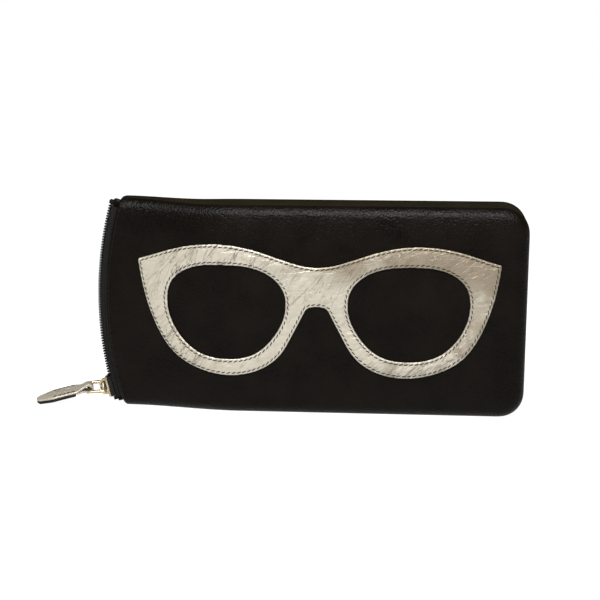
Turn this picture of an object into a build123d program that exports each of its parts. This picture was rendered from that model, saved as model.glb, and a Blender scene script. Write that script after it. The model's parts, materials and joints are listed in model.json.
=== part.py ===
"""A padded leather eyeglasses case with a zip across one short end.

The case stands on its long lower edge. X runs along its length, with the zipped mouth at -X and the
closed end at +X. Y runs through its depth, with the front at -Y. Z is up. The origin lies on the
surface that the case stands on, midway between front and back and midway along the length.

The front and back are leather trays with rolled rims. A gusset strip joins them over the top, down
the closed end and along the bottom. The mouth is bowed, so the zip lies on an arc about an axis
along Y, and its slider turns about that axis as it travels.
"""

from build123d import *

import os
from math import asin, cos, degrees, radians, sin

# Outline of the case, in millimetres
HALF_LENGTH = 88.0  # origin to the closed end
MOUTH_REACH = 84.0  # origin to the leather edge at the middle of the mouth
CASE_HEIGHT = 85.5
EAR_RISE = 1.8  # the top edge rises this much at the mouth
EAR_START = 42.0  # the rise starts this far from the mouth
EAR_END = 6.0
TOP_CORNER_RADIUS = 10.5
BOTTOM_CORNER_RADIUS = 10.0
END_RAKE = 0.6  # the closed end leans in this much at its foot

# Depth of the case, front to back
BODY_DEPTH = 28.0
TAPER_START = 56.0  # full depth from this far from the mouth
TAPER_END = 8.0  # mouth depth from here to the mouth

# Layers of the walls
LEATHER = 1.2
PADDING = 2.5
LINING = 0.5
ROLL_RADIUS = 4.5  # soft outer rim of the front and back
SEAM_SETBACK = 5.5  # front face to the gusset seam
SEAM_GAP = 0.15
LINING_CLEARANCE = 0.6  # between the leather of the walls and the gusset lining
LINING_LAP = 0.3  # between the gusset lining and the side linings
HEM_DEPTH = 8.0  # the leather is folded back this far at the mouth

# The bowed mouth and its zip
MOUTH_BOW_RADIUS = 145.0  # leather edge of the mouth
CHAIN_STANDOFF = 3.5  # leather edge to the middle of the teeth
TEETH_THICKNESS = 1.8
TEETH_WIDTH = 2.6  # one row
TEETH_GAP = 0.2  # between the two rows
TAPE_THICKNESS = 0.6
TAPE_GAP = 0.1  # between the tape and the hem that it is sewn to
TAPE_SEWN_DEPTH = 5.5  # tape hidden behind the hem
TAPE_END_INSET = 3.3  # the tape stops this far inside the upper and lower surfaces
STOP_GAP = 0.4
STOP_LENGTH = 1.3
TAB_LENGTH = 1.0
TAB_DEPTH = 8.0

# The slider, with its clearance from the teeth and tape
SLIDER_LENGTH = 9.0
SLIDER_PLATE = 1.0
SLIDER_CLEARANCE = 0.25
SLIDER_NARROWING = 0.9  # the slider is this much narrower at its upper end
SLIDER_SIDE_CLEARANCE = 0.5  # between the slider and the tapes where they turn in
FLANGE_WIDTH = 0.95
POST_LENGTH = 2.7
POST_WIDTH = 2.0
CROWN_WIDTH = 2.2
CROWN_LENGTH = 6.8
CROWN_STRIP = 0.8
CROWN_CORNER = 1.9
BAR_CLEARANCE = 0.6  # link bar to the crown above it
BAR_PLAY = 0.7  # link bar to the slider below it

# Metal link of the pull
LINK_LENGTH = 7.0  # pivot to pivot
LINK_BAR = 1.3
LINK_WIDTH = 7.6
LINK_WINDOW = 5.4
LINK_FLARE = 0.5
LINK_PITCH = 3.0
LINK_LEAN = 22.0  # its upper face leans to the front
PULL_YAW = 12.0  # the pull swings this much to the front

# Leather strap of the pull
STRAP_LENGTH = 22.2
STRAP_WIDTH = 8.0
STRAP_NECK = 4.0
STRAP_FACE = 0.9
STRAP_BACKING = 1.2
STRAP_LOOP_PLAY = 0.6  # link bar to the inside of the fold
STRAP_SHOULDER_START = 2.6
STRAP_SHOULDER_END = 5.5
STRAP_TIP_START = 15.0
STRAP_TIP_RADIUS = 2.4
STRAP_LEAN = 12.0
STRAP_REST_HEIGHT = 1.35  # the middle of the tip above the surface

# Stitching
STITCH_PITCH = 2.1
STITCH_LENGTH = 1.6
STITCH_WIDTH = 0.45
STITCH_HEIGHT = 0.3
STITCH_LIFT = 0.03
STITCH_INSET = 1.5  # stitch line to the edge it follows
APPLIQUE_STITCH_INSET = 1.0  # the same on the applique

# Leather shape on the front, in the form of a spectacle frame: the half beyond its middle line, with
# heights from the middle of the case
APPLIQUE_THICKNESS = 1.0
APPLIQUE_X = 3.7
BROW_LINE = [(0, 18.4), (11.5, 20.5), (25, 24.9), (39.4, 27.2), (55.7, 25.5), (73.4, 20.2)]
RIM_LINE = [
    (73.4, 20.2), (70.8, 6.0), (66.4, -6.5), (58.6, -18.2), (47, -24.6), (35.5, -26.4),
    (24.5, -24.5), (15.4, -18.4), (9.4, -8.6), (5.1, -0.2), (0, 2.4),
]
LENS_LINE = [
    (12.5, 2.8), (15.6, 11.8), (24, 17.1), (38.4, 18.9), (51.8, 17.1), (59.5, 11.2),
    (61.2, 3.4), (57.6, -8.4), (48.5, -17.2), (37, -19.7), (25, -17.3), (16.3, -8.6),
]

# Values worked out from the sizes above
EDGE_HEIGHT = CASE_HEIGHT + EAR_RISE
MOUTH_MIDDLE_Z = EDGE_HEIGHT / 2
MOUTH_BOW_X = MOUTH_BOW_RADIUS - MOUTH_REACH  # the axis that the mouth is bowed about
TAPER_START_X = TAPER_START - MOUTH_REACH
TAPER_END_X = TAPER_END - MOUTH_REACH
EAR_START_X = EAR_START - MOUTH_REACH
EAR_END_X = EAR_END - MOUTH_REACH
WALL = LEATHER + PADDING
LINING_INSET = LEATHER + LINING_CLEARANCE
CHAIN_RADIUS = MOUTH_BOW_RADIUS + CHAIN_STANDOFF
TEETH_OUTER_Y = TEETH_GAP / 2 + TEETH_WIDTH
TAPE_INNER_Y = POST_WIDTH / 2 + SLIDER_CLEARANCE
SLIDER_HALF_WIDTH = TEETH_OUTER_Y + SLIDER_CLEARANCE + FLANGE_WIDTH
TAPE_OUTER_Y = SLIDER_HALF_WIDTH + SLIDER_SIDE_CLEARANCE + TAPE_THICKNESS
MOUTH_DEPTH = 2 * (TAPE_OUTER_Y + TAPE_GAP + 2 * LEATHER)
TAPE_HALF_ANGLE = degrees(asin((MOUTH_MIDDLE_Z - TAPE_END_INSET) / CHAIN_RADIUS))
SLIDER_REST_ANGLE = degrees(SLIDER_LENGTH / 2 / CHAIN_RADIUS) - TAPE_HALF_ANGLE
PLATE_BASE = TEETH_THICKNESS / 2 + SLIDER_CLEARANCE
CROWN_HEIGHT = BAR_PLAY + LINK_BAR + BAR_CLEARANCE + CROWN_STRIP
STRAP_LOOP_RADIUS = LINK_BAR / 2 + STRAP_LOOP_PLAY
BEYOND = 20.0  # cutting shapes run this far past the case
MOUTH_AXIS = Axis((MOUTH_BOW_X, 0, MOUTH_MIDDLE_Z), (0, 1, 0))


def half_depth(x):
    """Distance from the middle plane to the outer face of the front at x."""
    share = min(1.0, max(0.0, (TAPER_START_X - x) / (TAPER_START_X - TAPER_END_X)))
    return (BODY_DEPTH - (BODY_DEPTH - MOUTH_DEPTH) * (3 * share**2 - 2 * share**3)) / 2


def half_depth_slope(x):
    """How fast half_depth grows with x."""
    run = TAPER_START_X - TAPER_END_X
    share = min(1.0, max(0.0, (TAPER_START_X - x) / run))
    return (BODY_DEPTH - MOUTH_DEPTH) * 3 * (share - share**2) / run


def plan_line(inset, side):
    """The front (side -1) or back (side 1) face seen from above, moved in by inset."""
    body_y = side * (BODY_DEPTH / 2 - inset)
    mouth_y = side * (MOUTH_DEPTH / 2 - inset)
    third = (TAPER_START_X - TAPER_END_X) / 3
    Line((HALF_LENGTH + BEYOND, body_y), (TAPER_START_X, body_y))
    Bezier(
        (TAPER_START_X, body_y),
        (TAPER_START_X - third, body_y),
        (TAPER_END_X + third, mouth_y),
        (TAPER_END_X, mouth_y),
    )
    Line((TAPER_END_X, mouth_y), (-HALF_LENGTH - BEYOND, mouth_y))


def plan_band(outer, inner, inner_side=-1):
    """The plan between two insets; inner_side 1 takes the second inset from the back face."""
    with BuildSketch(Plane.XY.offset(-BEYOND)) as band:
        with BuildLine():
            plan_line(outer, -1)
            plan_line(inner, inner_side)
            for x, depth in ((HALF_LENGTH + BEYOND, BODY_DEPTH), (-HALF_LENGTH - BEYOND, MOUTH_DEPTH)):
                Line((x, outer - depth / 2), (x, inner_side * (depth / 2 - inner)))
        make_face()
    return band.sketch


def front_outline(inset):
    """The case seen from the front, moved in by inset and running on past the mouth."""
    far_x = -HALF_LENGTH - BEYOND
    end_x = HALF_LENGTH - inset
    head_z = CASE_HEIGHT - inset
    ear_z = EDGE_HEIGHT - inset
    third = (EAR_START_X - EAR_END_X) / 3
    with BuildSketch(Plane.XZ) as outline:
        with BuildLine():
            rise = Bezier(
                (EAR_START_X, head_z),
                (EAR_START_X - third, head_z),
                (EAR_END_X + third, ear_z),
                (EAR_END_X, ear_z),
            )
            Polyline(rise @ 1, (far_x, ear_z), (far_x, inset), (end_x - END_RAKE, inset), (end_x, head_z))
            Line((end_x, head_z), rise @ 0)
        make_face()
        corners = outline.vertices().sort_by_distance((end_x, head_z))
        fillet(corners[0], TOP_CORNER_RADIUS - inset)
        corners = outline.vertices().sort_by_distance((end_x - END_RAKE, inset))
        fillet(corners[0], BOTTOM_CORNER_RADIUS - inset)
    return outline.sketch


def mouth_disc(radius):
    """A disc about the mouth axis, which trims what reaches past that radius."""
    with BuildSketch(Plane.XZ) as disc:
        with Locations((MOUTH_BOW_X, MOUTH_MIDDLE_Z)):
            Circle(radius)
    return disc.sketch


def is_rim(edge, inset):
    """Whether an edge is where a tray's face turns into its side wall."""
    middle = edge @ 0.5
    on_face = abs(-middle.Y - half_depth(middle.X) + inset) < 0.01
    upright = abs((edge % 0.5).Z) > 0.99 and middle.X < 0
    return on_face and not upright


def tray_block(inset, back, mouth_radius):
    """A solid of the front's outer form moved in by inset, as deep as the plan inset named back."""
    with BuildPart() as block:
        extrude(front_outline(inset), amount=BODY_DEPTH, both=True)
        extrude(plan_band(inset, back), amount=EDGE_HEIGHT + 2 * BEYOND, mode=Mode.INTERSECT)
        fillet(block.edges().filter_by(lambda edge: is_rim(edge, inset)), ROLL_RADIUS - inset)
        extrude(mouth_disc(mouth_radius), amount=BODY_DEPTH, both=True, mode=Mode.INTERSECT)
    return block.part


def strip(outer, inner, mouth_radius, setback):
    """A band round the closed sides of the case, between two insets, setback from front and back."""
    with BuildPart() as band:
        extrude(front_outline(outer), amount=BODY_DEPTH, both=True)
        with BuildSketch(Plane.XZ) as inside:
            add(front_outline(inner))
            with Locations((-HALF_LENGTH - BEYOND, EDGE_HEIGHT / 2)):
                Rectangle(BEYOND, EDGE_HEIGHT - 2 * inner)
        extrude(amount=BODY_DEPTH, both=True, mode=Mode.SUBTRACT)
        extrude(plan_band(setback, setback, 1), amount=EDGE_HEIGHT + 2 * BEYOND, mode=Mode.INTERSECT)
        extrude(mouth_disc(mouth_radius), amount=BODY_DEPTH, both=True, mode=Mode.INTERSECT)
    return band.part


def finish_piece(solid, name):
    """Label a piece and write it to its own file."""
    solid.label = name
    export_step(solid, f"parts/{name}.step")


def finish_pair(solid, name):
    """Write a piece for the front and its mirror image for the back."""
    finish_piece(solid, f"front_{name}")
    with BuildPart() as back:
        mirror(solid, about=Plane.XZ)
    finish_piece(back.part, f"back_{name}")


def make_walls():
    """Leather trays, padding and linings of the front and back."""
    hem_radius = MOUTH_BOW_RADIUS - HEM_DEPTH
    tray_floor = SEAM_SETBACK + BEYOND / 2
    with BuildPart() as panel:
        add(tray_block(0, SEAM_SETBACK, MOUTH_BOW_RADIUS))
        add(tray_block(LEATHER, tray_floor, hem_radius), mode=Mode.SUBTRACT)
        add(tray_block(2 * LEATHER, tray_floor, MOUTH_BOW_RADIUS + BEYOND), mode=Mode.SUBTRACT)
    finish_pair(panel.part, "panel")

    with BuildPart() as padding:
        add(tray_block(LEATHER, tray_floor, hem_radius))
        extrude(plan_band(LEATHER, WALL), amount=EDGE_HEIGHT + 2 * BEYOND, mode=Mode.INTERSECT)
    finish_pair(padding.part, "padding")

    with BuildPart() as lining:
        extrude(front_outline(LINING_INSET), amount=BODY_DEPTH, both=True)
        extrude(plan_band(WALL, WALL + LINING), amount=EDGE_HEIGHT + 2 * BEYOND, mode=Mode.INTERSECT)
        extrude(mouth_disc(hem_radius), amount=BODY_DEPTH, both=True, mode=Mode.INTERSECT)
    finish_pair(lining.part, "lining")


def make_gusset():
    """The strip between front and back, and its lining."""
    finish_piece(strip(0, LEATHER, MOUTH_BOW_RADIUS, SEAM_SETBACK + SEAM_GAP), "gusset")
    lining_radius = MOUTH_BOW_RADIUS - HEM_DEPTH - LINING_CLEARANCE
    lining_setback = WALL + LINING + LINING_LAP
    lining = strip(LINING_INSET, LINING_INSET + LINING, lining_radius, lining_setback)
    finish_piece(lining, "gusset_lining")


def applique_outline():
    """The spectacle frame, with its two lens openings."""
    with BuildSketch(Plane.XZ) as half:
        with BuildLine():
            Spline(*BROW_LINE, tangents=((1, 0), (1, -0.28)))
            Spline(*RIM_LINE, tangents=((-0.12, -1), (-1, 0)))
            Line(RIM_LINE[-1], BROW_LINE[0])
        make_face()
        with BuildLine():
            Spline(*LENS_LINE, periodic=True)
        make_face(mode=Mode.SUBTRACT)
    with BuildSketch(Plane.XZ) as frame:
        add(half.sketch_local)
        mirror(about=Plane.YZ)
    return frame.sketch.moved(Location((APPLIQUE_X, 0, CASE_HEIGHT / 2)))


def stitch_plane(x, z, along_x, along_z, lift):
    """The place of one stitch, lift above the front face, lying along a direction in the face."""
    slope = half_depth_slope(x)
    outward = Vector(-slope, -1, 0).normalized()
    along = Vector(along_x, -slope * along_x, along_z)
    seat = Vector(x, -half_depth(x), z) + outward * (lift + STITCH_LIFT + STITCH_HEIGHT / 2)
    return Plane(origin=seat, x_dir=along, z_dir=outward)


def stitch_row(wire, lift):
    """Evenly spaced stitch places along a wire drawn in the XZ plane."""
    count = round(wire.length / STITCH_PITCH)
    places = []
    for index in range(count):
        point = wire.position_at((index + 0.5) / count)
        along = wire.tangent_at((index + 0.5) / count)
        places.append(stitch_plane(point.X, point.Z, along.X, along.Z, lift))
    return places


def make_stitches(places, name):
    """One node of separate stitches."""
    with BuildPart() as stitches:
        with Locations(*places):
            Box(STITCH_LENGTH, STITCH_WIDTH, STITCH_HEIGHT)
    finish_piece(stitches.part, name)


def make_applique():
    """The leather spectacle shape on the front, and the thread that sews it down."""
    outline = applique_outline()
    with BuildPart() as applique:
        extrude(outline, amount=BODY_DEPTH, both=True)
        extrude(plan_band(-APPLIQUE_THICKNESS, 0), amount=EDGE_HEIGHT + 2 * BEYOND, mode=Mode.INTERSECT)
    finish_piece(applique.part, "applique")

    places = []
    for wire in offset(outline, amount=-APPLIQUE_STITCH_INSET).wires():
        places += stitch_row(wire, APPLIQUE_THICKNESS)
    make_stitches(places, "applique_stitching")


def make_mouth_stitching():
    """The row of stitches down each side of the mouth, through hem and tape."""
    radius = MOUTH_BOW_RADIUS - STITCH_INSET
    with BuildLine(Plane.XZ) as row:
        CenterArc((MOUTH_BOW_X, MOUTH_MIDDLE_Z), radius, 180 - TAPE_HALF_ANGLE, 2 * TAPE_HALF_ANGLE)
    with BuildPart() as stitches:
        with Locations(*stitch_row(row.wire(), 0)):
            Box(STITCH_LENGTH, STITCH_WIDTH, STITCH_HEIGHT)
    finish_pair(stitches.part, "mouth_stitching")


def bow_plane(angle):
    """A section plane through the mouth axis: x points out of the mouth and y to the front."""
    outward = (-cos(radians(angle)), 0, sin(radians(angle)))
    normal = (-sin(radians(angle)), 0, -cos(radians(angle)))
    return Plane(origin=(MOUTH_BOW_X, 0, MOUTH_MIDDLE_Z), x_dir=outward, z_dir=normal)


def bow_piece(low_angle, high_angle, blocks):
    """Blocks of (inner radius, outer radius, near y, far y) turned about the mouth axis."""
    section = bow_plane(low_angle)
    front = 1 if section.y_dir.Y < 0 else -1
    with BuildPart() as piece:
        with BuildSketch(section):
            for inner, outer, near, far in blocks:
                with Locations(((inner + outer) / 2, front * (near + far) / 2)):
                    Rectangle(outer - inner, far - near)
        revolve(axis=MOUTH_AXIS, revolution_arc=high_angle - low_angle)
    return piece.part


def make_zip():
    """Tapes, rows of teeth, end stops and end tabs."""
    tape_outer = CHAIN_RADIUS - TEETH_THICKNESS / 2
    tape_inner = tape_outer - TAPE_THICKNESS
    tape = bow_piece(
        -TAPE_HALF_ANGLE,
        TAPE_HALF_ANGLE,
        [
            (tape_inner, tape_outer, TAPE_INNER_Y, TAPE_OUTER_Y),
            (MOUTH_BOW_RADIUS - TAPE_SEWN_DEPTH, tape_outer, TAPE_OUTER_Y - TAPE_THICKNESS, TAPE_OUTER_Y),
        ],
    )
    finish_pair(tape, "zip_tape")

    post_top = SLIDER_REST_ANGLE - degrees((SLIDER_LENGTH / 2 - POST_LENGTH) / CHAIN_RADIUS)
    teeth_start = post_top + degrees(SLIDER_CLEARANCE / CHAIN_RADIUS)
    teeth_reach = TEETH_THICKNESS / 2
    teeth = bow_piece(
        teeth_start,
        TAPE_HALF_ANGLE,
        [(CHAIN_RADIUS - teeth_reach, CHAIN_RADIUS + teeth_reach, TEETH_GAP / 2, TEETH_OUTER_Y)],
    )
    finish_pair(teeth, "zip_teeth")

    tab_y = MOUTH_DEPTH / 2 - SEAM_SETBACK - 2 * SEAM_GAP
    tab = [(CHAIN_RADIUS + teeth_reach - TAB_DEPTH, CHAIN_RADIUS + teeth_reach, -tab_y, tab_y)]
    stop = [(CHAIN_RADIUS - teeth_reach, CHAIN_RADIUS + teeth_reach, -tab_y, tab_y)]
    stop_start = TAPE_HALF_ANGLE + degrees(STOP_GAP / CHAIN_RADIUS)
    stop_end = stop_start + degrees(STOP_LENGTH / CHAIN_RADIUS)
    tab_end = stop_end + degrees(TAB_LENGTH / CHAIN_RADIUS)
    finish_piece(bow_piece(stop_start, stop_end, stop), "zip_upper_stop")
    finish_piece(bow_piece(-stop_end, -stop_start, stop), "zip_lower_stop")
    finish_piece(bow_piece(stop_end, tab_end, tab), "zip_upper_tab")
    finish_piece(bow_piece(-tab_end, -stop_end, tab), "zip_lower_tab")


def slider_plane():
    """The slider's own plane: x to the front, y up the zip, z outwards, at the middle of the teeth."""
    angle = radians(SLIDER_REST_ANGLE)
    outward = Vector(-cos(angle), 0, sin(angle))
    place = Vector(MOUTH_BOW_X, 0, MOUTH_MIDDLE_Z) + outward * CHAIN_RADIUS
    return Plane(origin=place, x_dir=(0, -1, 0), z_dir=outward)


def plate_sketch(plane):
    """One plate of the slider, narrower at its upper end."""
    low_x = SLIDER_HALF_WIDTH
    high_x = SLIDER_HALF_WIDTH - SLIDER_NARROWING / 2
    reach = SLIDER_LENGTH / 2
    with BuildSketch(plane) as plate:
        with BuildLine():
            Polyline((-low_x, -reach), (low_x, -reach), (high_x, reach), (-high_x, reach), close=True)
        make_face()
        fillet(plate.vertices(), 1.2)
    return plate.sketch


def make_slider():
    """The slider's two plates with the post between them, and the crown that holds the pull."""
    plane = slider_plane()
    inner_top = -(TEETH_THICKNESS / 2 + TAPE_THICKNESS + SLIDER_CLEARANCE)
    flange_foot = -TEETH_THICKNESS / 2 + SLIDER_CLEARANCE
    with BuildPart() as body:
        extrude(plate_sketch(plane.offset(PLATE_BASE)), amount=SLIDER_PLATE)
        fillet(body.faces().sort_by(Axis(plane.origin, plane.z_dir))[-1].edges(), 0.4)
        extrude(plate_sketch(plane.offset(inner_top)), amount=-SLIDER_PLATE)
        with BuildSketch(plane.offset(flange_foot)):
            add(plate_sketch(Plane.XY))
            Rectangle(2 * (TEETH_OUTER_Y + SLIDER_CLEARANCE), 2 * SLIDER_LENGTH, mode=Mode.SUBTRACT)
        extrude(amount=PLATE_BASE - flange_foot)
        with BuildSketch(plane.offset(inner_top)):
            with Locations((0, (POST_LENGTH - SLIDER_LENGTH) / 2)):
                Rectangle(POST_WIDTH, POST_LENGTH)
        extrude(amount=PLATE_BASE - inner_top)
    finish_piece(body.part, "slider_body")

    crown_side = Plane(
        origin=plane.origin + plane.z_dir * (PLATE_BASE + SLIDER_PLATE),
        x_dir=plane.y_dir,
        z_dir=plane.x_dir,
    )
    strip_height = CROWN_HEIGHT - CROWN_STRIP
    strip_length = CROWN_LENGTH - 2 * CROWN_STRIP
    with BuildPart() as crown:
        extrude(arch_sketch(crown_side, CROWN_LENGTH, CROWN_HEIGHT, CROWN_CORNER), CROWN_WIDTH / 2, both=True)
        extrude(
            arch_sketch(crown_side, strip_length, strip_height, CROWN_CORNER - CROWN_STRIP),
            CROWN_WIDTH / 2,
            both=True,
            mode=Mode.SUBTRACT,
        )
    finish_piece(crown.part, "slider_crown")


def arch_sketch(plane, length, height, corner):
    """A rectangle standing on the plane's x line, with its two upper corners rounded."""
    with BuildSketch(plane) as arch:
        with Locations((0, height / 2)):
            Rectangle(length, height)
        fillet(arch.vertices().group_by(Axis.Y)[-1], corner)
    return arch.sketch


def leaning_plane(origin, yaw, pitch, lean):
    """A plane with x out of the mouth, swung to the front by yaw and down by pitch, and y across it.

    Its upper face leans to the front by lean.
    """
    turn, dip, tilt = radians(yaw), radians(pitch), radians(lean)
    along = Vector(-cos(dip) * cos(turn), -cos(dip) * sin(turn), -sin(dip))
    across = Vector(sin(turn), -cos(turn), 0)
    upward = along.cross(across)
    return Plane(origin=origin, x_dir=along, z_dir=upward * cos(tilt) + across * sin(tilt))


def pull_planes():
    """Planes of the link and the strap: x along the piece, y across it, z out of its upper face."""
    plane = slider_plane()
    pivot_rise = PLATE_BASE + SLIDER_PLATE + BAR_PLAY + LINK_BAR / 2
    pivot = plane.origin + plane.z_dir * pivot_rise
    link = leaning_plane(pivot, PULL_YAW, LINK_PITCH, LINK_LEAN)
    far_bar = link.origin + link.x_dir * LINK_LENGTH
    strap_pitch = degrees(asin((far_bar.Z - STRAP_REST_HEIGHT) / STRAP_LENGTH))
    return link, leaning_plane(far_bar, PULL_YAW, strap_pitch, STRAP_LEAN)


def make_link(link):
    """The metal ring that joins the slider to the strap."""
    with BuildPart() as ring:
        with BuildSketch(link.offset(-LINK_BAR / 2)) as shape:
            near_x = -LINK_BAR / 2
            far_x = LINK_LENGTH + LINK_BAR / 2
            near_y = LINK_WIDTH / 2 + LINK_FLARE
            far_y = LINK_WIDTH / 2
            with BuildLine():
                Polyline((near_x, -near_y), (far_x, -far_y), (far_x, far_y), (near_x, near_y), close=True)
            make_face()
            fillet(shape.vertices(), 1.8)
            with Locations((LINK_LENGTH / 2, 0)):
                RectangleRounded(LINK_LENGTH - LINK_BAR, LINK_WINDOW, 0.9, mode=Mode.SUBTRACT)
        extrude(amount=LINK_BAR)
        flat_faces = ring.faces().filter_by(Axis(link.origin, link.z_dir))
        fillet(flat_faces.edges(), 0.45)
    finish_piece(ring.part, "pull_link")


def strap_sketch(plane, start):
    """The strap's flat shape from start to its rounded tip."""
    half = STRAP_WIDTH / 2
    neck = STRAP_NECK / 2
    tip_x = STRAP_LENGTH - STRAP_TIP_RADIUS
    with BuildSketch(plane) as flat:
        with BuildLine():
            Polyline((tip_x, -STRAP_TIP_RADIUS), (STRAP_TIP_START, -half), (STRAP_SHOULDER_END, -half))
            if start < STRAP_SHOULDER_END:
                Polyline((STRAP_SHOULDER_END, -half), (start, -neck), (start, neck), (STRAP_SHOULDER_END, half))
            else:
                Line((start, -half), (start, half))
            Polyline((STRAP_SHOULDER_END, half), (STRAP_TIP_START, half), (tip_x, STRAP_TIP_RADIUS))
            ThreePointArc((tip_x, STRAP_TIP_RADIUS), (STRAP_LENGTH, 0), (tip_x, -STRAP_TIP_RADIUS))
        make_face()
    return flat.sketch


def make_strap(strap):
    """The strap: a silver face folded round the link, a dark backing, and the thread through both."""
    side = Plane(origin=strap.origin, x_dir=strap.x_dir, z_dir=-strap.y_dir)
    with BuildPart() as face:
        with BuildSketch(side):
            with BuildLine():
                reach = STRAP_LOOP_RADIUS + STRAP_FACE
                upper = PolarLine((0, 0), reach, angle=80, mode=Mode.PRIVATE)
                lower = PolarLine((0, 0), reach, angle=-80, mode=Mode.PRIVATE)
                ThreePointArc(upper @ 1, (-reach, 0), lower @ 1)
                Polyline(
                    lower @ 1,
                    (STRAP_SHOULDER_END, -STRAP_FACE),
                    (STRAP_SHOULDER_END, STRAP_FACE),
                    upper @ 1,
                )
            make_face()
            Circle(STRAP_LOOP_RADIUS, mode=Mode.SUBTRACT)
        extrude(amount=STRAP_NECK / 2, both=True)
        extrude(strap_sketch(strap, STRAP_SHOULDER_START), amount=STRAP_FACE)
    finish_piece(face.part, "pull_strap_face")

    with BuildPart() as backing:
        extrude(strap_sketch(strap, STRAP_SHOULDER_END), amount=-STRAP_BACKING)
    finish_piece(backing.part, "pull_strap_backing")

    row_y = STRAP_WIDTH / 2 - STITCH_INSET + STITCH_WIDTH
    row_length = STRAP_TIP_START - STRAP_SHOULDER_END
    count = round(row_length / STITCH_PITCH)
    with BuildPart() as stitches:
        with BuildSketch(strap.offset(STRAP_FACE)):
            for side_y in (-row_y, row_y):
                for index in range(count):
                    stitch_x = STRAP_SHOULDER_END + (index + 0.5) * row_length / count
                    with Locations((stitch_x, side_y)):
                        Rectangle(STITCH_LENGTH, STITCH_WIDTH)
        extrude(amount=STITCH_HEIGHT)
    finish_piece(stitches.part, "pull_stitching")


def main():
    """Write every piece, and print where the pull turns."""
    os.makedirs("parts", exist_ok=True)
    make_walls()
    make_gusset()
    make_applique()
    make_mouth_stitching()
    make_zip()
    make_slider()
    link, strap = pull_planes()
    make_link(link)
    make_strap(strap)
    print("slider turns about", (MOUTH_BOW_X, 0, MOUTH_MIDDLE_Z))
    print("link turns at", link.origin, "about", -link.y_dir)
    print("strap turns at", strap.origin, "about", -link.y_dir)


main()
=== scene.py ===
"""A leather eyeglasses case with a zip across one end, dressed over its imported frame.

Sizes are in millimetres, and meshes are written in metres. x runs from the mouth to the
closed end, y from the front to the back, and z up.
"""

import json
import logging
import math
import random
from dataclasses import dataclass, field
from enum import Enum
from typing import Callable, Iterable

import bpy
import numpy as np
from mathutils import Matrix, Vector, noise
from mathutils.kdtree import KDTree


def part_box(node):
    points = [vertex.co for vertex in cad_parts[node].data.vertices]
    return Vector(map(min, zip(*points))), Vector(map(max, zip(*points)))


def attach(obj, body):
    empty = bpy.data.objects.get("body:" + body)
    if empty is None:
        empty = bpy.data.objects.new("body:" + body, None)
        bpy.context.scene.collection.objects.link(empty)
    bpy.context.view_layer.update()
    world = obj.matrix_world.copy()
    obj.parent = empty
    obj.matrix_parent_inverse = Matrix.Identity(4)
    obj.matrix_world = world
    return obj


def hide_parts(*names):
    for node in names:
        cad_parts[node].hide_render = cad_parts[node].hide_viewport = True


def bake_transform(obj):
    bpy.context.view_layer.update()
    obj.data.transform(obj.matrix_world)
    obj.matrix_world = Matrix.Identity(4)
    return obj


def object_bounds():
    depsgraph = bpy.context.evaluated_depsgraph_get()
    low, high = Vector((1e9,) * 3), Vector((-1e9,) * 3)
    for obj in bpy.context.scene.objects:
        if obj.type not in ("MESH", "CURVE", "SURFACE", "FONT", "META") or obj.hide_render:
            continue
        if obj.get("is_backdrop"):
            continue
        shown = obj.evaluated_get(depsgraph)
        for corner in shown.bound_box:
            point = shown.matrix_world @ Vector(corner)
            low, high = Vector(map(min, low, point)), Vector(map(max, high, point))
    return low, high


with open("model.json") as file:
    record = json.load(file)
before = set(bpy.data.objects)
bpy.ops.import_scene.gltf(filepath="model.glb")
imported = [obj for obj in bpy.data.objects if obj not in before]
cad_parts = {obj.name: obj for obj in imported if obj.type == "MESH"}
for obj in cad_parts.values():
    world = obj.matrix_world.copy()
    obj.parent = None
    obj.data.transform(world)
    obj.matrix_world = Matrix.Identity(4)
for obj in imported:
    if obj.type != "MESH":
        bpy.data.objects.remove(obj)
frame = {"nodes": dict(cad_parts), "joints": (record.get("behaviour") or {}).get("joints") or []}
CAD_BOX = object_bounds()

MM = 0.001
TRACE = logging.getLogger("eyeglasses_case")
Point = tuple[float, float, float]
Place = Callable[[float, float], Point]


class Side(Enum):
    """The two leather walls of the case, by the sign of their y."""

    FRONT = -1
    BACK = 1

    @property
    def label(self) -> str:
        """The word that starts the names of this side's nodes."""
        return self.name.lower()

    @property
    def body(self) -> str:
        """The body that this side rides on."""
        return f"{self.label}_side"


class End(Enum):
    """The two ends of the mouth."""

    LOWER = -1
    UPPER = 1


# ---------------------------------------------------------------- modelling


def deselect_all() -> None:
    """Leave edit mode and select nothing."""
    if bpy.context.object and bpy.context.object.mode != "OBJECT":
        bpy.ops.object.mode_set(mode="OBJECT")
    bpy.ops.object.select_all(action="DESELECT")


def make_active(piece: bpy.types.Object) -> None:
    """Select one piece alone and make it active."""
    deselect_all()
    piece.select_set(True)
    bpy.context.view_layer.objects.active = piece


def weld(piece: bpy.types.Object, gap: float = 0.004) -> None:
    """Merge the points of a mesh that lie closer together than a gap.

    Args:
        piece: The mesh to weld.
        gap: The merging distance, in millimetres.
    """
    make_active(piece)
    bpy.ops.object.mode_set(mode="EDIT")
    bpy.ops.mesh.select_all(action="SELECT")
    bpy.ops.mesh.remove_doubles(threshold=gap * MM)
    bpy.ops.object.mode_set(mode="OBJECT")


def face_outwards(piece: bpy.types.Object) -> None:
    """Turn the faces of a closed mesh outwards."""
    make_active(piece)
    bpy.ops.object.mode_set(mode="EDIT")
    bpy.ops.mesh.select_all(action="SELECT")
    bpy.ops.mesh.normals_make_consistent(inside=False)
    bpy.ops.object.mode_set(mode="OBJECT")


def apply_modifiers(piece: bpy.types.Object) -> None:
    """Apply every modifier of a piece, in order."""
    make_active(piece)
    for modifier in list(piece.modifiers):
        bpy.ops.object.modifier_apply(modifier=modifier.name)


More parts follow.
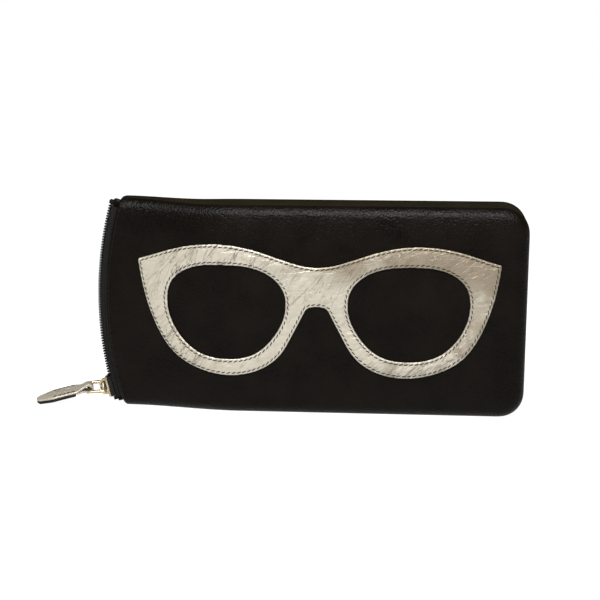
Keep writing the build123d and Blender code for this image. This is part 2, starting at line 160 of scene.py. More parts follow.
def shade(piece: bpy.types.Object, angle: float = 50.0) -> None:
    """Shade a piece smooth, with edges sharper than an angle in degrees kept sharp."""
    make_active(piece)
    bpy.ops.object.shade_smooth_by_angle(angle=math.radians(angle))


def shaped_sheet(name: str, columns: int, rows: int, place: Place) -> bpy.types.Object:
    """A grid whose points are laid out over a surface.

    Args:
        name: The piece's name.
        columns: Faces along the sheet.
        rows: Faces across it.
        place: Gives a point in millimetres from shares along and across the sheet.

    Returns:
        The open sheet, with its points on the surface.
    """
    deselect_all()
    bpy.ops.mesh.primitive_grid_add(x_subdivisions=columns, y_subdivisions=rows, size=1.0)
    piece = bpy.context.active_object
    piece.name = piece.data.name = name
    for vertex in piece.data.vertices:
        vertex.co = Vector(place(vertex.co.x + 0.5, vertex.co.y + 0.5)) * MM
    weld(piece)
    return piece


def thicken(piece: bpy.types.Object, thickness: float, offset: float = -1.0, group: str = "") -> None:
    """Give a sheet its thickness.

    Args:
        piece: The open sheet.
        thickness: Full thickness in millimetres.
        offset: -1 to grow behind the sheet, 0 to grow both ways.
        group: A vertex group that scales the thickness, if one is wanted.
    """
    wall = piece.modifiers.new("wall", "SOLIDIFY")
    wall.thickness = thickness * MM
    wall.offset = offset
    wall.use_even_offset = True
    wall.vertex_group = group


def soften(piece: bpy.types.Object, levels: int = 1) -> None:
    """Round a piece off with subdivision."""
    rounding = piece.modifiers.new("rounding", "SUBSURF")
    rounding.levels = levels
    rounding.render_levels = levels


def copies_at(template: bpy.types.Object, places: list[Matrix], name: str) -> bpy.types.Object:
    """Join copies of a template, one at each place.

    Args:
        template: The modelled piece, which is removed afterwards.
        places: The copies' matrices, in metres.
        name: The joined piece's name.

    Returns:
        The joined piece, with its place in its mesh.
    """
    deselect_all()
    copies = []
    for place in places:
        twin = bpy.data.objects.new(name, template.data.copy())
        twin.matrix_world = place
        bpy.context.scene.collection.objects.link(twin)
        twin.select_set(True)
        copies.append(twin)
    bpy.data.objects.remove(template)
    bpy.context.view_layer.objects.active = copies[0]
    bpy.context.view_layer.update()
    bpy.ops.object.join()
    piece = bpy.context.active_object
    bpy.ops.object.transform_apply(location=True, rotation=True, scale=True)
    piece.name = piece.data.name = name
    return piece


def copy_of_node(node: str, name: str) -> bpy.types.Object:
    """A new piece with a CAD node's mesh, its loose triangles welded."""
    piece = bpy.data.objects.new(name, frame["nodes"][node].data.copy())
    piece.data.name = name
    bpy.context.scene.collection.objects.link(piece)
    weld(piece, 0.01)
    return piece


def small_ball(turn: Point) -> bpy.types.Object:
    """A ball one across, its poles turned by angles in radians."""
    deselect_all()
    bpy.ops.mesh.primitive_uv_sphere_add(segments=8, ring_count=6, radius=0.5, rotation=turn)
    bpy.ops.object.transform_apply(location=False, rotation=True, scale=False)
    return bpy.context.active_object


def smooth_share(share: float) -> float:
    """A share held between 0 and 1, eased at both ends."""
    held = min(1.0, max(0.0, share))
    return held * held * (3.0 - 2.0 * held)


def block_places(node: str) -> list[tuple[Vector, Vector, Vector]]:
    """The centre, long direction and flat direction of each separate block in a CAD node.

    Args:
        node: A CAD node made of many small straight blocks.

    Returns:
        One (centre, along, normal) for each block, in metres.
    """
    blocks = copy_of_node(node, "blocks_to_measure")
    near: dict[int, set[int]] = {index: set() for index in range(len(blocks.data.vertices))}
    for edge in blocks.data.edges:
        near[edge.vertices[0]].add(edge.vertices[1])
        near[edge.vertices[1]].add(edge.vertices[0])
    spots = [vertex.co.copy() for vertex in blocks.data.vertices]
    found = []
    left = set(near)
    while left:
        queue = [min(left)]
        block = set(queue)
        while queue:
            fresh = near[queue.pop()] - block
            block |= fresh
            queue.extend(sorted(fresh))
        left -= block
        corners = np.array([spots[index] for index in sorted(block)], float)
        centre = corners.mean(axis=0)
        axes = np.linalg.eigh((corners - centre).T @ (corners - centre))[1]
        found.append((Vector(centre), Vector(axes[:, 2]), Vector(axes[:, 0])))
    bpy.data.objects.remove(blocks)
    return found


def standing_matrix(centre: Vector, along: Vector, normal: Vector) -> Matrix:
    """The matrix that puts a template's x along a direction and its z on a normal."""
    across = normal.cross(along).normalized()
    turned = Matrix((along, across, normal)).transposed().to_4x4()
    return Matrix.Translation(centre) @ turned


# ---------------------------------------------------------------- finishes


class Nodes:
    """Writes the nodes of one material.

    Attributes:
        material: The material.
        tree: Its node tree.
        shader: Its Principled shader.
        coordinates: Object coordinates, in metres.
    """

    def __init__(self, name: str) -> None:
        """Start a material with one Principled shader."""
        self.material = bpy.data.materials.new(name)
        self.material.use_nodes = True
        self.tree = self.material.node_tree
        self.shader = self.tree.nodes["Principled BSDF"]
        self.coordinates = self.add("ShaderNodeTexCoord").outputs["Object"]

    def add(self, kind: str, **settings: object) -> bpy.types.Node:
        """Add a node and set its properties."""
        node = self.tree.nodes.new(kind)
        for key, value in settings.items():
            setattr(node, key, value)
        return node

    def join(self, source: bpy.types.NodeSocket, target: bpy.types.NodeSocket) -> None:
        """Link an output to an input."""
        self.tree.links.new(source, target)

    def stretched(self, scale: Point, turn: float = 0.0) -> bpy.types.NodeSocket:
        """Object coordinates turned about y by an angle in degrees, then in repeats per metre."""
        mapping = self.add("ShaderNodeMapping", vector_type="TEXTURE")
        mapping.inputs["Scale"].default_value = tuple(1.0 / rate for rate in scale)
        mapping.inputs["Rotation"].default_value = (0.0, math.radians(turn), 0.0)
        self.join(self.coordinates, mapping.inputs["Vector"])
        return mapping.outputs["Vector"]

    def noise(self, vector: bpy.types.NodeSocket, scale: float, detail: float = 3.0,
              warp: float = 0.0) -> bpy.types.NodeSocket:
        """Noise from 0 to 1."""
        node = self.add("ShaderNodeTexNoise")
        node.inputs["Scale"].default_value = scale
        node.inputs["Detail"].default_value = detail
        node.inputs["Distortion"].default_value = warp
        self.join(vector, node.inputs["Vector"])
        return node.outputs["Fac"]

    def cells(self, vector: bpy.types.NodeSocket, scale: float,
              feature: str = "F1") -> bpy.types.NodeSocket:
        """Distances in a field of cells."""
        node = self.add("ShaderNodeTexVoronoi", feature=feature)
        node.inputs["Scale"].default_value = scale
        self.join(vector, node.inputs["Vector"])
        return node.outputs["Distance"]

    def hairlines(self, scale: Point, turn: float, width: float) -> bpy.types.NodeSocket:
        """Thin wandering lines, 1 on a line and 0 away from it.

        Args:
            scale: Repeats per metre across and along the lines.
            turn: Their slant, in degrees.
            width: Their width as a share of the noise's range.

        Returns:
            The lines' strength.
        """
        waves = self.noise(self.stretched(scale, turn), 1.0, 2.0, 0.5)
        off = self.math("ABSOLUTE", self.math("SUBTRACT", waves, 0.5), 0.0)
        return self.span(off, 0.0, width, 1.0, 0.0)

    def ramp(self, value: bpy.types.NodeSocket, stops: Iterable[tuple[float, Point]]) -> bpy.types.NodeSocket:
        """Colours along a value."""
        node = self.add("ShaderNodeValToRGB")
        elements = node.color_ramp.elements
        for index, (place, colour) in enumerate(stops):
            element = elements[index] if index < 2 else elements.new(place)
            element.position = place
            element.color = (*colour, 1.0)
        self.join(value, node.inputs["Fac"])
        return node.outputs["Color"]

    def span(self, value: bpy.types.NodeSocket, low: float, high: float,
             start: float = 0.0, stop: float = 1.0) -> bpy.types.NodeSocket:
        """A value from low to high, carried over to start and stop."""
        node = self.add("ShaderNodeMapRange")
        node.inputs["From Min"].default_value = low
        node.inputs["From Max"].default_value = high
        node.inputs["To Min"].default_value = start
        node.inputs["To Max"].default_value = stop
        self.join(value, node.inputs["Value"])
        return node.outputs["Result"]

    def math(self, operation: str, first: bpy.types.NodeSocket,
             second: bpy.types.NodeSocket | float) -> bpy.types.NodeSocket:
        """Arithmetic on a value and another value or a number."""
        node = self.add("ShaderNodeMath", operation=operation)
        self.join(first, node.inputs[0])
        if isinstance(second, float):
            node.inputs[1].default_value = second
        else:
            self.join(second, node.inputs[1])
        return node.outputs[0]

    def blend(self, share: bpy.types.NodeSocket, first: bpy.types.NodeSocket | Point,
              second: bpy.types.NodeSocket | Point) -> bpy.types.NodeSocket:
        """Two colours mixed by a share."""
        node = self.add("ShaderNodeMix", data_type="RGBA")
        self.join(share, node.inputs[0])
        for socket, colour in ((node.inputs[6], first), (node.inputs[7], second)):
            if isinstance(colour, tuple):
                socket.default_value = (*colour, 1.0)
            else:
                self.join(colour, socket)
        return node.outputs[2]

    def colour(self, source: bpy.types.NodeSocket) -> None:
        """Give the shader its base colour."""
        self.join(source, self.shader.inputs["Base Color"])

    def roughness(self, source: bpy.types.NodeSocket) -> None:
        """Give the shader its roughness."""
        self.join(source, self.shader.inputs["Roughness"])

    def relief(self, height: bpy.types.NodeSocket, depth: float) -> None:
        """Bump the surface by a height from 0 to 1, depth millimetres deep."""
        node = self.add("ShaderNodeBump")
        node.inputs["Strength"].default_value = 1.0
        node.inputs["Distance"].default_value = depth * MM
        self.join(height, node.inputs["Height"])
        self.join(node.outputs["Normal"], self.shader.inputs["Normal"])

    def set(self, **constants: float) -> None:
        """Set constants on the shader's own sockets, by name with underscores for spaces."""
        for key, value in constants.items():
            self.shader.inputs[key.replace("_", " ")].default_value = value


@dataclass(frozen=True)
class GrainedLeather:
    """Soft dyed leather with a fine pebbled grain.

    Attributes:
        name: The material's name.
        dye: Colour in the hollows of the grain.
        worn: Colour on the grain's tops.
        grain: Size of a pebble, in millimetres.
        depth: Depth of the grain, in millimetres.
        dullness: Middle roughness.
        gloss: Specular level.
    """

    name: str
    dye: Point = (0.0010, 0.0005, 0.0002)
    worn: Point = (0.0032, 0.0021, 0.0012)
    grain: float = 0.75
    depth: float = 0.20
    dullness: float = 0.37
    gloss: float = 0.07

    def make(self) -> bpy.types.Material:
        """The leather as a material."""
        nodes = Nodes(self.name)
        even = nodes.stretched((1.0, 1.0, 1.0))
        drift = nodes.noise(even, 70.0, 4.0)
        pebbles = nodes.cells(even, 1.0 / (self.grain * MM), "SMOOTH_F1")
        pores = nodes.noise(even, 3200.0, 3.0)
        creases = nodes.noise(nodes.stretched((260.0, 260.0, 620.0), 12.0), 1.0, 5.0, 0.6)
        grain = nodes.math("ADD", nodes.math("MULTIPLY", pebbles, -0.9), nodes.math("MULTIPLY", pores, 0.45))
        height = nodes.math("ADD", grain, nodes.math("MULTIPLY", creases, 0.7))
        nodes.relief(height, self.depth)
        dyed = nodes.blend(nodes.span(drift, 0.35, 0.7), self.dye, self.worn)
        nodes.colour(nodes.blend(nodes.span(pebbles, 0.1, 0.7, 0.55, 0.0), dyed, self.worn))
        wear = nodes.math("ADD", nodes.span(drift, 0.3, 0.7, self.dullness - 0.07, self.dullness + 0.05),
                          nodes.span(pores, 0.3, 0.7, -0.06, 0.06))
        nodes.roughness(wear)
        nodes.set(Specular_IOR_Level=self.gloss)
        return nodes.material


@dataclass(frozen=True)
class CrinkledMetallicLeather:
    """Foiled leather with slanting creases, its colour painted with a reflection: paler at one end and low
    down, darker at the other.

    Attributes:
        name: The material's name.
        pale_x: Where the painted reflection is palest, in millimetres.
        warm_x: Where the painted reflection is darkest, as painted shade, in millimetres.
        low_z: Height below which the darker end is painted paler, as painted reflection, in millimetres.
        high_z: Height above which that painted shade is at full strength.
        metal: How metallic the foil is.
        depth: Depth of its folds and creases, in millimetres.
    """

    name: str
    pale_x: float = -70.0
    warm_x: float = 75.0
    low_z: float = 50.0
    high_z: float = 60.0
    metal: float = 0.55
    depth: float = 0.26

    def make(self) -> bpy.types.Material:
        """The foiled leather as a material."""
        nodes = Nodes(self.name)
        even = nodes.stretched((1.0, 1.0, 1.0))
        split = nodes.add("ShaderNodeSeparateXYZ")
        nodes.join(nodes.coordinates, split.inputs[0])
        # Painted reflection: along runs from the pale left end to the darker right end, and raised keeps the
        # foil paler low down. Together they paint reflected light and shade into the colour.
        along = nodes.span(split.outputs["X"], self.pale_x * MM, self.warm_x * MM)
        patches = nodes.noise(even, 55.0, 4.0, 0.8)
        raised = nodes.span(split.outputs["Z"], self.low_z * MM, self.high_z * MM, 0.55, 1.05)
        share = nodes.math("ADD", nodes.math("MULTIPLY", along, raised),
                           nodes.span(patches, 0.3, 0.75, -0.2, 0.4))
        # The ramp turns that share into the painted reflection, from pale to dark, mixed with random patches
        # of tone.
        foil = nodes.ramp(share, (
            (0.0, (0.42, 0.385, 0.31)),
            (1.0, (0.20, 0.165, 0.12)),
            (0.45, (0.43, 0.40, 0.335)),
            (0.72, (0.23, 0.197, 0.145)),
        ))
        fine = nodes.noise(nodes.stretched((900.0, 900.0, 420.0), 60.0), 1.0, 5.0, 1.0)
        folds = nodes.noise(nodes.stretched((170.0, 400.0, 620.0), -12.0), 1.0, 4.0, 0.9)
        where = nodes.span(nodes.noise(even, 42.0, 3.0, 0.4), 0.42, 0.58)
        elsewhere = nodes.span(nodes.noise(even, 33.0, 3.0, 0.4), 0.50, 0.62)
        steep = nodes.math("MULTIPLY", nodes.hairlines((300.0, 300.0, 24.0), 42.0, 0.016), where)
        flat = nodes.math("MULTIPLY", nodes.hairlines((260.0, 260.0, 28.0), 56.0, 0.014), elsewhere)
        lean = nodes.math("MULTIPLY", nodes.hairlines((380.0, 380.0, 46.0), 24.0, 0.014), where)
        # Real cracks, wider and only at the right end, where they add to its painted shade.
        shaded_end_cracks = nodes.math("MULTIPLY", nodes.hairlines((420.0, 420.0, 40.0), 50.0, 0.03),
                          nodes.span(along, 0.55, 0.72, 0.0, 0.55))
        crack = nodes.math("MAXIMUM", nodes.math("MAXIMUM", steep, flat), nodes.math("MAXIMUM", lean, shaded_end_cracks))
        # Painted shade: the hollows of the folds are darkened, more so towards the right end.
        hollows = nodes.math("MULTIPLY", nodes.span(folds, 0.52, 0.34),
                             nodes.span(along, 0.3, 0.9, 0.15, 0.8))
        rubbed = nodes.math("MULTIPLY", nodes.span(nodes.noise(even, 120.0, 5.0, 1.5), 0.58, 0.72), where)
        foil = nodes.blend(nodes.math("MULTIPLY", hollows, 0.75), foil, (0.22, 0.18, 0.125))
        foil = nodes.blend(nodes.math("MULTIPLY", rubbed, 0.45), foil, (0.30, 0.22, 0.13))
        foil = nodes.blend(nodes.math("MULTIPLY", crack, 0.85), foil, (0.13, 0.105, 0.075))
        nodes.colour(foil)
        height = nodes.math("ADD", nodes.math("MULTIPLY", fine, 0.35), nodes.math("MULTIPLY", folds, 1.3))
        height = nodes.math("SUBTRACT", height, nodes.math("MULTIPLY", crack, 0.4))
        nodes.relief(height, self.depth)
        nodes.roughness(nodes.span(fine, 0.25, 0.75, 0.34, 0.52))
        nodes.set(Metallic=self.metal, Specular_IOR_Level=0.5)
        return nodes.material


@dataclass(frozen=True)
class Cloth:
    """Woven or twisted thread, as in the lining, the tapes and the stitches.

    Attributes:
        name: The material's name.
        dark: Colour between the threads.
        light: Colour on top of the threads.
        pitch: Distance between threads, in millimetres.
        turn: Slant of the weave, in degrees.
        dullness: Roughness.
        gloss: Specular level.
    """

    name: str
    dark: Point
    light: Point
    pitch: float
    turn: float = 0.0
    dullness: float = 0.8
    gloss: float = 0.08

    def make(self) -> bpy.types.Material:
        """The cloth as a material."""
        nodes = Nodes(self.name)
        rate = 1.0 / (self.pitch * MM)
        weft = nodes.add("ShaderNodeTexWave", bands_direction="X")
        warp = nodes.add("ShaderNodeTexWave", bands_direction="Z")
        for wave in (weft, warp):
            wave.inputs["Scale"].default_value = rate / 6.3
            wave.inputs["Distortion"].default_value = 0.6
            nodes.join(nodes.stretched((1.0, 1.0, 1.0), self.turn), wave.inputs["Vector"])
        height = nodes.math("MAXIMUM", weft.outputs["Fac"], warp.outputs["Fac"])
        fuzz = nodes.noise(nodes.coordinates, rate * 1.7, 3.0)
        nodes.colour(nodes.blend(nodes.math("MULTIPLY", height, fuzz), self.dark, self.light))
        nodes.relief(nodes.math("ADD", height, fuzz), self.pitch * 0.25)
        nodes.roughness(nodes.span(fuzz, 0.3, 0.7, self.dullness - 0.1, self.dullness + 0.1))
        nodes.set(Specular_IOR_Level=self.gloss)
        return nodes.material


@dataclass(frozen=True)
class CastMetal:
    """Plated metal with faint casting grain and handling marks.

    Attributes:
        name: The material's name.
        bright: Colour of the plating.
        dull: Colour where it is rubbed.
        dullness: Middle roughness.
        plated_from: Distance from the mouth's axis, in millimetres, inside which the metal is
            enamelled black, or 0 if it is plated all over.
    """

    name: str
    bright: Point = (0.50, 0.42, 0.27)
    dull: Point = (0.22, 0.175, 0.10)
    dullness: float = 0.22
    plated_from: float = 0.0

    def make(self) -> bpy.types.Material:
        """The metal as a material."""
        nodes = Nodes(self.name)
        marks = nodes.noise(nodes.coordinates, 900.0, 5.0, 0.4)
        fine = nodes.noise(nodes.coordinates, 4200.0, 2.0)
        plated = nodes.blend(nodes.span(marks, 0.4, 0.72), self.bright, self.dull)
        nodes.roughness(nodes.span(marks, 0.3, 0.7, self.dullness - 0.07, self.dullness + 0.14))
        nodes.relief(nodes.math("ADD", marks, nodes.math("MULTIPLY", fine, 0.3)), 0.03)
        if self.plated_from:
            form = CaseForm()
            flat = nodes.add("ShaderNodeVectorMath", operation="MULTIPLY")
            flat.inputs[1].default_value = (1.0, 0.0, 1.0)
            nodes.join(nodes.coordinates, flat.inputs[0])
            reach = nodes.add("ShaderNodeVectorMath", operation="DISTANCE")
            reach.inputs[1].default_value = (form.bow_x * MM, 0.0, form.middle_z * MM)
            nodes.join(flat.outputs["Vector"], reach.inputs[0])
            edge = self.plated_from * MM
            bare = nodes.span(reach.outputs["Value"], edge - 0.05 * MM, edge + 0.05 * MM)
            plated = nodes.blend(bare, (0.004, 0.004, 0.004), plated)
            nodes.join(bare, nodes.shader.inputs["Metallic"])
            nodes.set(Specular_IOR_Level=0.15)
        else:
            nodes.set(Metallic=1.0)
        nodes.colour(plated)
        return nodes.material


@dataclass(frozen=True)
class CutEdge:
    """Painted edges, foam and moulded nylon: one colour, broken up by fine noise.

    Attributes:
        name: The material's name.
        low: Colour in its hollows.
        high: Colour on its tops.
        scale: Noise repeats per metre.
        dullness: Middle roughness.
        depth: Depth of the noise, in millimetres.
        gloss: Specular level.
    """

    name: str
    low: Point
    high: Point
    scale: float
    dullness: float
    depth: float = 0.08
    gloss: float = 0.10

    def make(self) -> bpy.types.Material:
        """The edge finish as a material."""
        nodes = Nodes(self.name)
        grit = nodes.noise(nodes.coordinates, self.scale, 4.0, 0.3)
        nodes.colour(nodes.blend(nodes.span(grit, 0.3, 0.7), self.low, self.high))
        nodes.roughness(nodes.span(grit, 0.3, 0.7, self.dullness - 0.08, self.dullness + 0.08))
        nodes.relief(grit, self.depth)
        nodes.set(Specular_IOR_Level=self.gloss)
        return nodes.material


@dataclass
class Palette:
    """Every finish of the case, made once."""

    wall: bpy.types.Material = field(init=False)
    edge_strip: bpy.types.Material = field(init=False)
    foil: bpy.types.Material = field(init=False)
    thread: bpy.types.Material = field(init=False)
    black_thread: bpy.types.Material = field(init=False)
    tape: bpy.types.Material = field(init=False)
    lining: bpy.types.Material = field(init=False)
    foam: bpy.types.Material = field(init=False)
    coil: bpy.types.Material = field(init=False)
    metal: bpy.types.Material = field(init=False)
    enamelled_metal: bpy.types.Material = field(init=False)
    painted_edge: bpy.types.Material = field(init=False)

    def __post_init__(self) -> None:
        """Make the materials."""
        self.wall = GrainedLeather("black_grained_leather").make()
        self.edge_strip = GrainedLeather(
            "black_smooth_leather", dye=(0.0066, 0.0051, 0.0017), worn=(0.0112, 0.0090, 0.0038),
            grain=0.5, depth=0.04, dullness=0.88, gloss=0.02,
        ).make()
        # Its colour carries a painted reflection, and painted shade in its folds.
        self.foil = CrinkledMetallicLeather("silver_crinkled_leather").make()
        self.thread = Cloth(
            "dark_grey_thread", (0.020, 0.018, 0.015), (0.060, 0.055, 0.047), pitch=0.22, turn=35.0
        ).make()
        self.black_thread = Cloth(
            "black_thread", (0.004, 0.004, 0.004), (0.018, 0.017, 0.015), pitch=0.22, turn=35.0
        ).make()
        self.tape = Cloth("zip_tape_weave", (0.003, 0.003, 0.003), (0.014, 0.013, 0.012), pitch=0.45).make()
        self.lining = Cloth(
            "lining_twill", (0.006, 0.006, 0.007), (0.022, 0.021, 0.022), pitch=0.5, turn=45.0
        ).make()
        self.foam = CutEdge(
            "grey_foam", (0.02, 0.02, 0.02), (0.06, 0.06, 0.06), scale=1800.0, depth=0.2, dullness=0.9
        ).make()
        self.coil = CutEdge(
            "black_nylon", (0.002, 0.002, 0.002), (0.005, 0.005, 0.0045),
            scale=2500.0, depth=0.02, dullness=0.5,
        ).make()
        self.metal = CastMetal("pale_gold_plating").make()
        self.enamelled_metal = CastMetal("black_enamel_with_gold_top", plated_from=149.75).make()
        self.painted_edge = CutEdge(
            "black_edge_paint", (0.004, 0.0035, 0.003), (0.012, 0.010, 0.009), scale=1400.0, dullness=0.42
        ).make()


def dress(piece: bpy.types.Object, finish: bpy.types.Material, slot: str) -> None:
    """Give a new piece its finish."""
    piece.data.materials.clear()
    piece.data.materials.append(finish)


def dress_node(node: str, finish: bpy.types.Material) -> None:
    """Give a CAD node a better material."""
    for slot in frame["nodes"][node].material_slots:
        slot.material = finish


# ---------------------------------------------------------------- the case's form


@dataclass(frozen=True)
class CaseForm:
    """The outer form that walls, strip, linings and trim all follow, in millimetres.

    Attributes:
        half_length: Closed end, from the middle.
        height: Height of the case away from the mouth.
        ear_rise: How much higher the case is at the mouth.
        ear_start: x where the rise starts.
        ear_end: x where it is complete.
        top_corner: Radius of the upper corner at the closed end.
        bottom_corner: Radius of the lower one.
        rake: How far the closed end leans out over its height.
        body_half_depth: Half the depth of the body.
        mouth_half_depth: Half the depth at the mouth.
        taper_start: x where the depth starts to fall.
        taper_end: x where the fall is complete.
        bow_x: x of the axis that the mouth is bowed about.
        bow_radius: Radius of the mouth's bow.
        roll: Radius of the walls' rolled edges.
        seam: Distance of the side seams from the face.
        slant_reach: x as far as which columns lean with the mouth.
        shoulder: How far the padded face has fallen at its edges.
        shoulder_width: Width of that fall.
        swell: How far the padded face stands out in its middle.
        swell_start: x where that starts, near the mouth.
        swell_rise: Length over which it grows there.
        swell_fall: Length over which it dies away at the closed end.
        ripples: Height, length along x, length along z and seed of each ripple in the padding.
    """

    half_length: float = 88.0
    height: float = 85.5
    ear_rise: float = 1.8
    ear_start: float = -42.0
    ear_end: float = -78.0
    top_corner: float = 10.5
    bottom_corner: float = 10.0
    rake: float = 0.6
    body_half_depth: float = 14.0
    mouth_half_depth: float = 7.5
    taper_start: float = -28.0
    taper_end: float = -76.0
    bow_x: float = 61.0
    bow_radius: float = 145.0
    roll: float = 4.5
    seam: float = 5.5
    slant_reach: float = -20.0
    shoulder: float = 1.3
    shoulder_width: float = 14.0
    swell: float = 0.45
    swell_start: float = -84.0
    swell_rise: float = 30.0
    swell_fall: float = 20.0
    ripples: tuple[tuple[float, float, float, float], ...] = ((0.20, 26.0, 22.0, 3.0), (0.05, 8.0, 7.0, 9.0))

    @property
    def middle_z(self) -> float:
        """Middle height of the mouth."""
        return (self.height + self.ear_rise) / 2

    def half_depth(self, x: float) -> float:
        """Distance of the outer face from the middle plane."""
        share = smooth_share((self.taper_start - x) / (self.taper_start - self.taper_end))
        return self.body_half_depth + (self.mouth_half_depth - self.body_half_depth) * share

    def top_z(self, x: float) -> float:
        """Height of the upper edge."""
        share = smooth_share((self.ear_start - x) / (self.ear_start - self.ear_end))
        return self.height + self.ear_rise * share

    def mouth_x(self, z: float, radius: float) -> float:
        """The bow of a given radius at a height."""
        return self.bow_x - math.sqrt(radius**2 - (z - self.middle_z) ** 2)

    def slanted(self, x: float, z: float, radius: float) -> float:
        """x moved so that the first column lies on the bow."""
        first_x = self.bow_x - radius
        share = min(1.0, max(0.0, (self.slant_reach - x) / (self.slant_reach - first_x)))
        return x + (self.mouth_x(z, radius) - first_x) * share

    def relief(self, x: float, z: float) -> float:
        """How far the padded face stands proud of the frame's flat face."""
        rise = (z - self.height / 2) / (self.height / 2)
        fade = smooth_share((x - self.swell_start) / self.swell_rise)
        fade *= smooth_share((self.half_length - x) / self.swell_fall)
        proud = self.swell * max(0.0, 1.0 - rise * rise) * fade
        inside = min(z, self.top_z(x) - z, self.half_length - x)
        proud -= self.shoulder * max(0.0, 1.0 - inside / self.shoulder_width) ** 2
        for height, length, drop, seed in self.ripples:
            proud += height * noise.noise(Vector((x / length, seed, z / drop)))
        return proud


class Rim:
    """The case's outline from the lower end of the mouth, round the closed end, to the upper one."""

    STEP = 0.5
    SIGHT = 0.6  # distance ahead and behind that gives the outline's direction
    LIFT = 0.4  # the case's middle line lies this far above its half height

    def __init__(self, form: CaseForm, radius: float) -> None:
        """Lay out the outline.

        Args:
            form: The case's form.
            radius: Radius of the bow that the outline starts and ends on.
        """
        self.form = form
        self.radius = radius
        self.first_x = form.bow_x - radius
        self.path = np.array(list(self._path()))
        self.lengths = np.concatenate(([0.0], np.cumsum(np.hypot(*np.diff(self.path, axis=0).T))))
        self.length = float(self.lengths[-1])
        self.fan_x = form.half_length - form.height / 2
        run = self.fan_x - self.first_x
        self.run_share = round(run / self.length, 2)
        self.marks = (0.0, run, self.length - (run + form.ear_rise**2 / run), self.length)

    def _line(self, start: tuple[float, float], end: tuple[float, float]) -> Iterable[tuple[float, float]]:
        """Points along a straight run, without its last point."""
        count = max(1, round(math.dist(start, end) / self.STEP))
        for index in range(count):
            share = index / count
            yield start[0] + (end[0] - start[0]) * share, start[1] + (end[1] - start[1]) * share

    def _corner(self, x: float, z: float, radius: float, start: float) -> Iterable[tuple[float, float]]:
        """Points round a quarter turn, without its last point."""
        count = max(4, round(math.pi / 2 * radius / self.STEP))
        for index in range(count):
            angle = math.radians(start + 90.0 * index / count)
            yield x + radius * math.cos(angle), z + radius * math.sin(angle)

    def _path(self) -> Iterable[tuple[float, float]]:
        """The outline's points before the columns are slanted to the mouth."""
        form, first_x = self.form, self.first_x
        low_end = form.half_length - form.rake
        low_x = low_end - form.bottom_corner
        high_x = form.half_length - form.top_corner
        yield from self._line((first_x, 0.0), (low_x, 0.0))
        yield from self._corner(low_x, form.bottom_corner, form.bottom_corner, -90.0)
        high_z = form.height - form.top_corner
        yield from self._line((low_end, form.bottom_corner), (form.half_length, high_z))
        yield from self._corner(high_x, high_z, form.top_corner, 0.0)
        for x, _ in self._line((high_x, 0.0), (first_x, 0.0)):
            yield x, form.top_z(form.slanted(x, form.height, self.radius))
        yield first_x, form.top_z(form.mouth_x(form.height, self.radius))

    def spot(self, share: float) -> tuple[float, float, float, float]:
        """A point of the outline and the direction into the case there: (x, z, into_x, into_z)."""
        shares = (0.0, self.run_share, 1.0 - self.run_share, 1.0)
        place = float(np.interp(share, shares, self.marks))
        x, z = (float(np.interp(place, self.lengths, self.path[:, axis])) for axis in (0, 1))
        ahead, behind = min(self.length, place + self.SIGHT), max(0.0, place - self.SIGHT)
        run_x, run_z = (
            float(np.interp(ahead, self.lengths, self.path[:, axis]))
            - float(np.interp(behind, self.lengths, self.path[:, axis]))
            for axis in (0, 1)
        )
        run = math.hypot(run_x, run_z)
        return x, z, -run_z / run, run_x / run

    def inner_spot(self, share: float, inset: float, reach: float) -> tuple[float, float]:
        """A point inside the outline, in the columns' slanted layout.

        Args:
            share: Share along the outline.
            inset: Distance in from the outline.
            reach: Share of the way on to the case's middle line.

        Returns:
            Its x and z.
        """
        x, z, into_x, into_z = self.spot(share)
        near_x, near_z = x + into_x * inset, z + into_z * inset
        along = min(1.0, share / self.run_share, (1.0 - share) / self.run_share)
        far_x = self.first_x + (self.fan_x - self.first_x) * along
        far_z = self.form.height / 2 + self.LIFT
        near_x += (far_x - near_x) * reach
        near_z += (far_z - near_z) * reach
        return self.form.slanted(near_x, near_z, self.radius), near_z


Row = tuple[float, float, float]


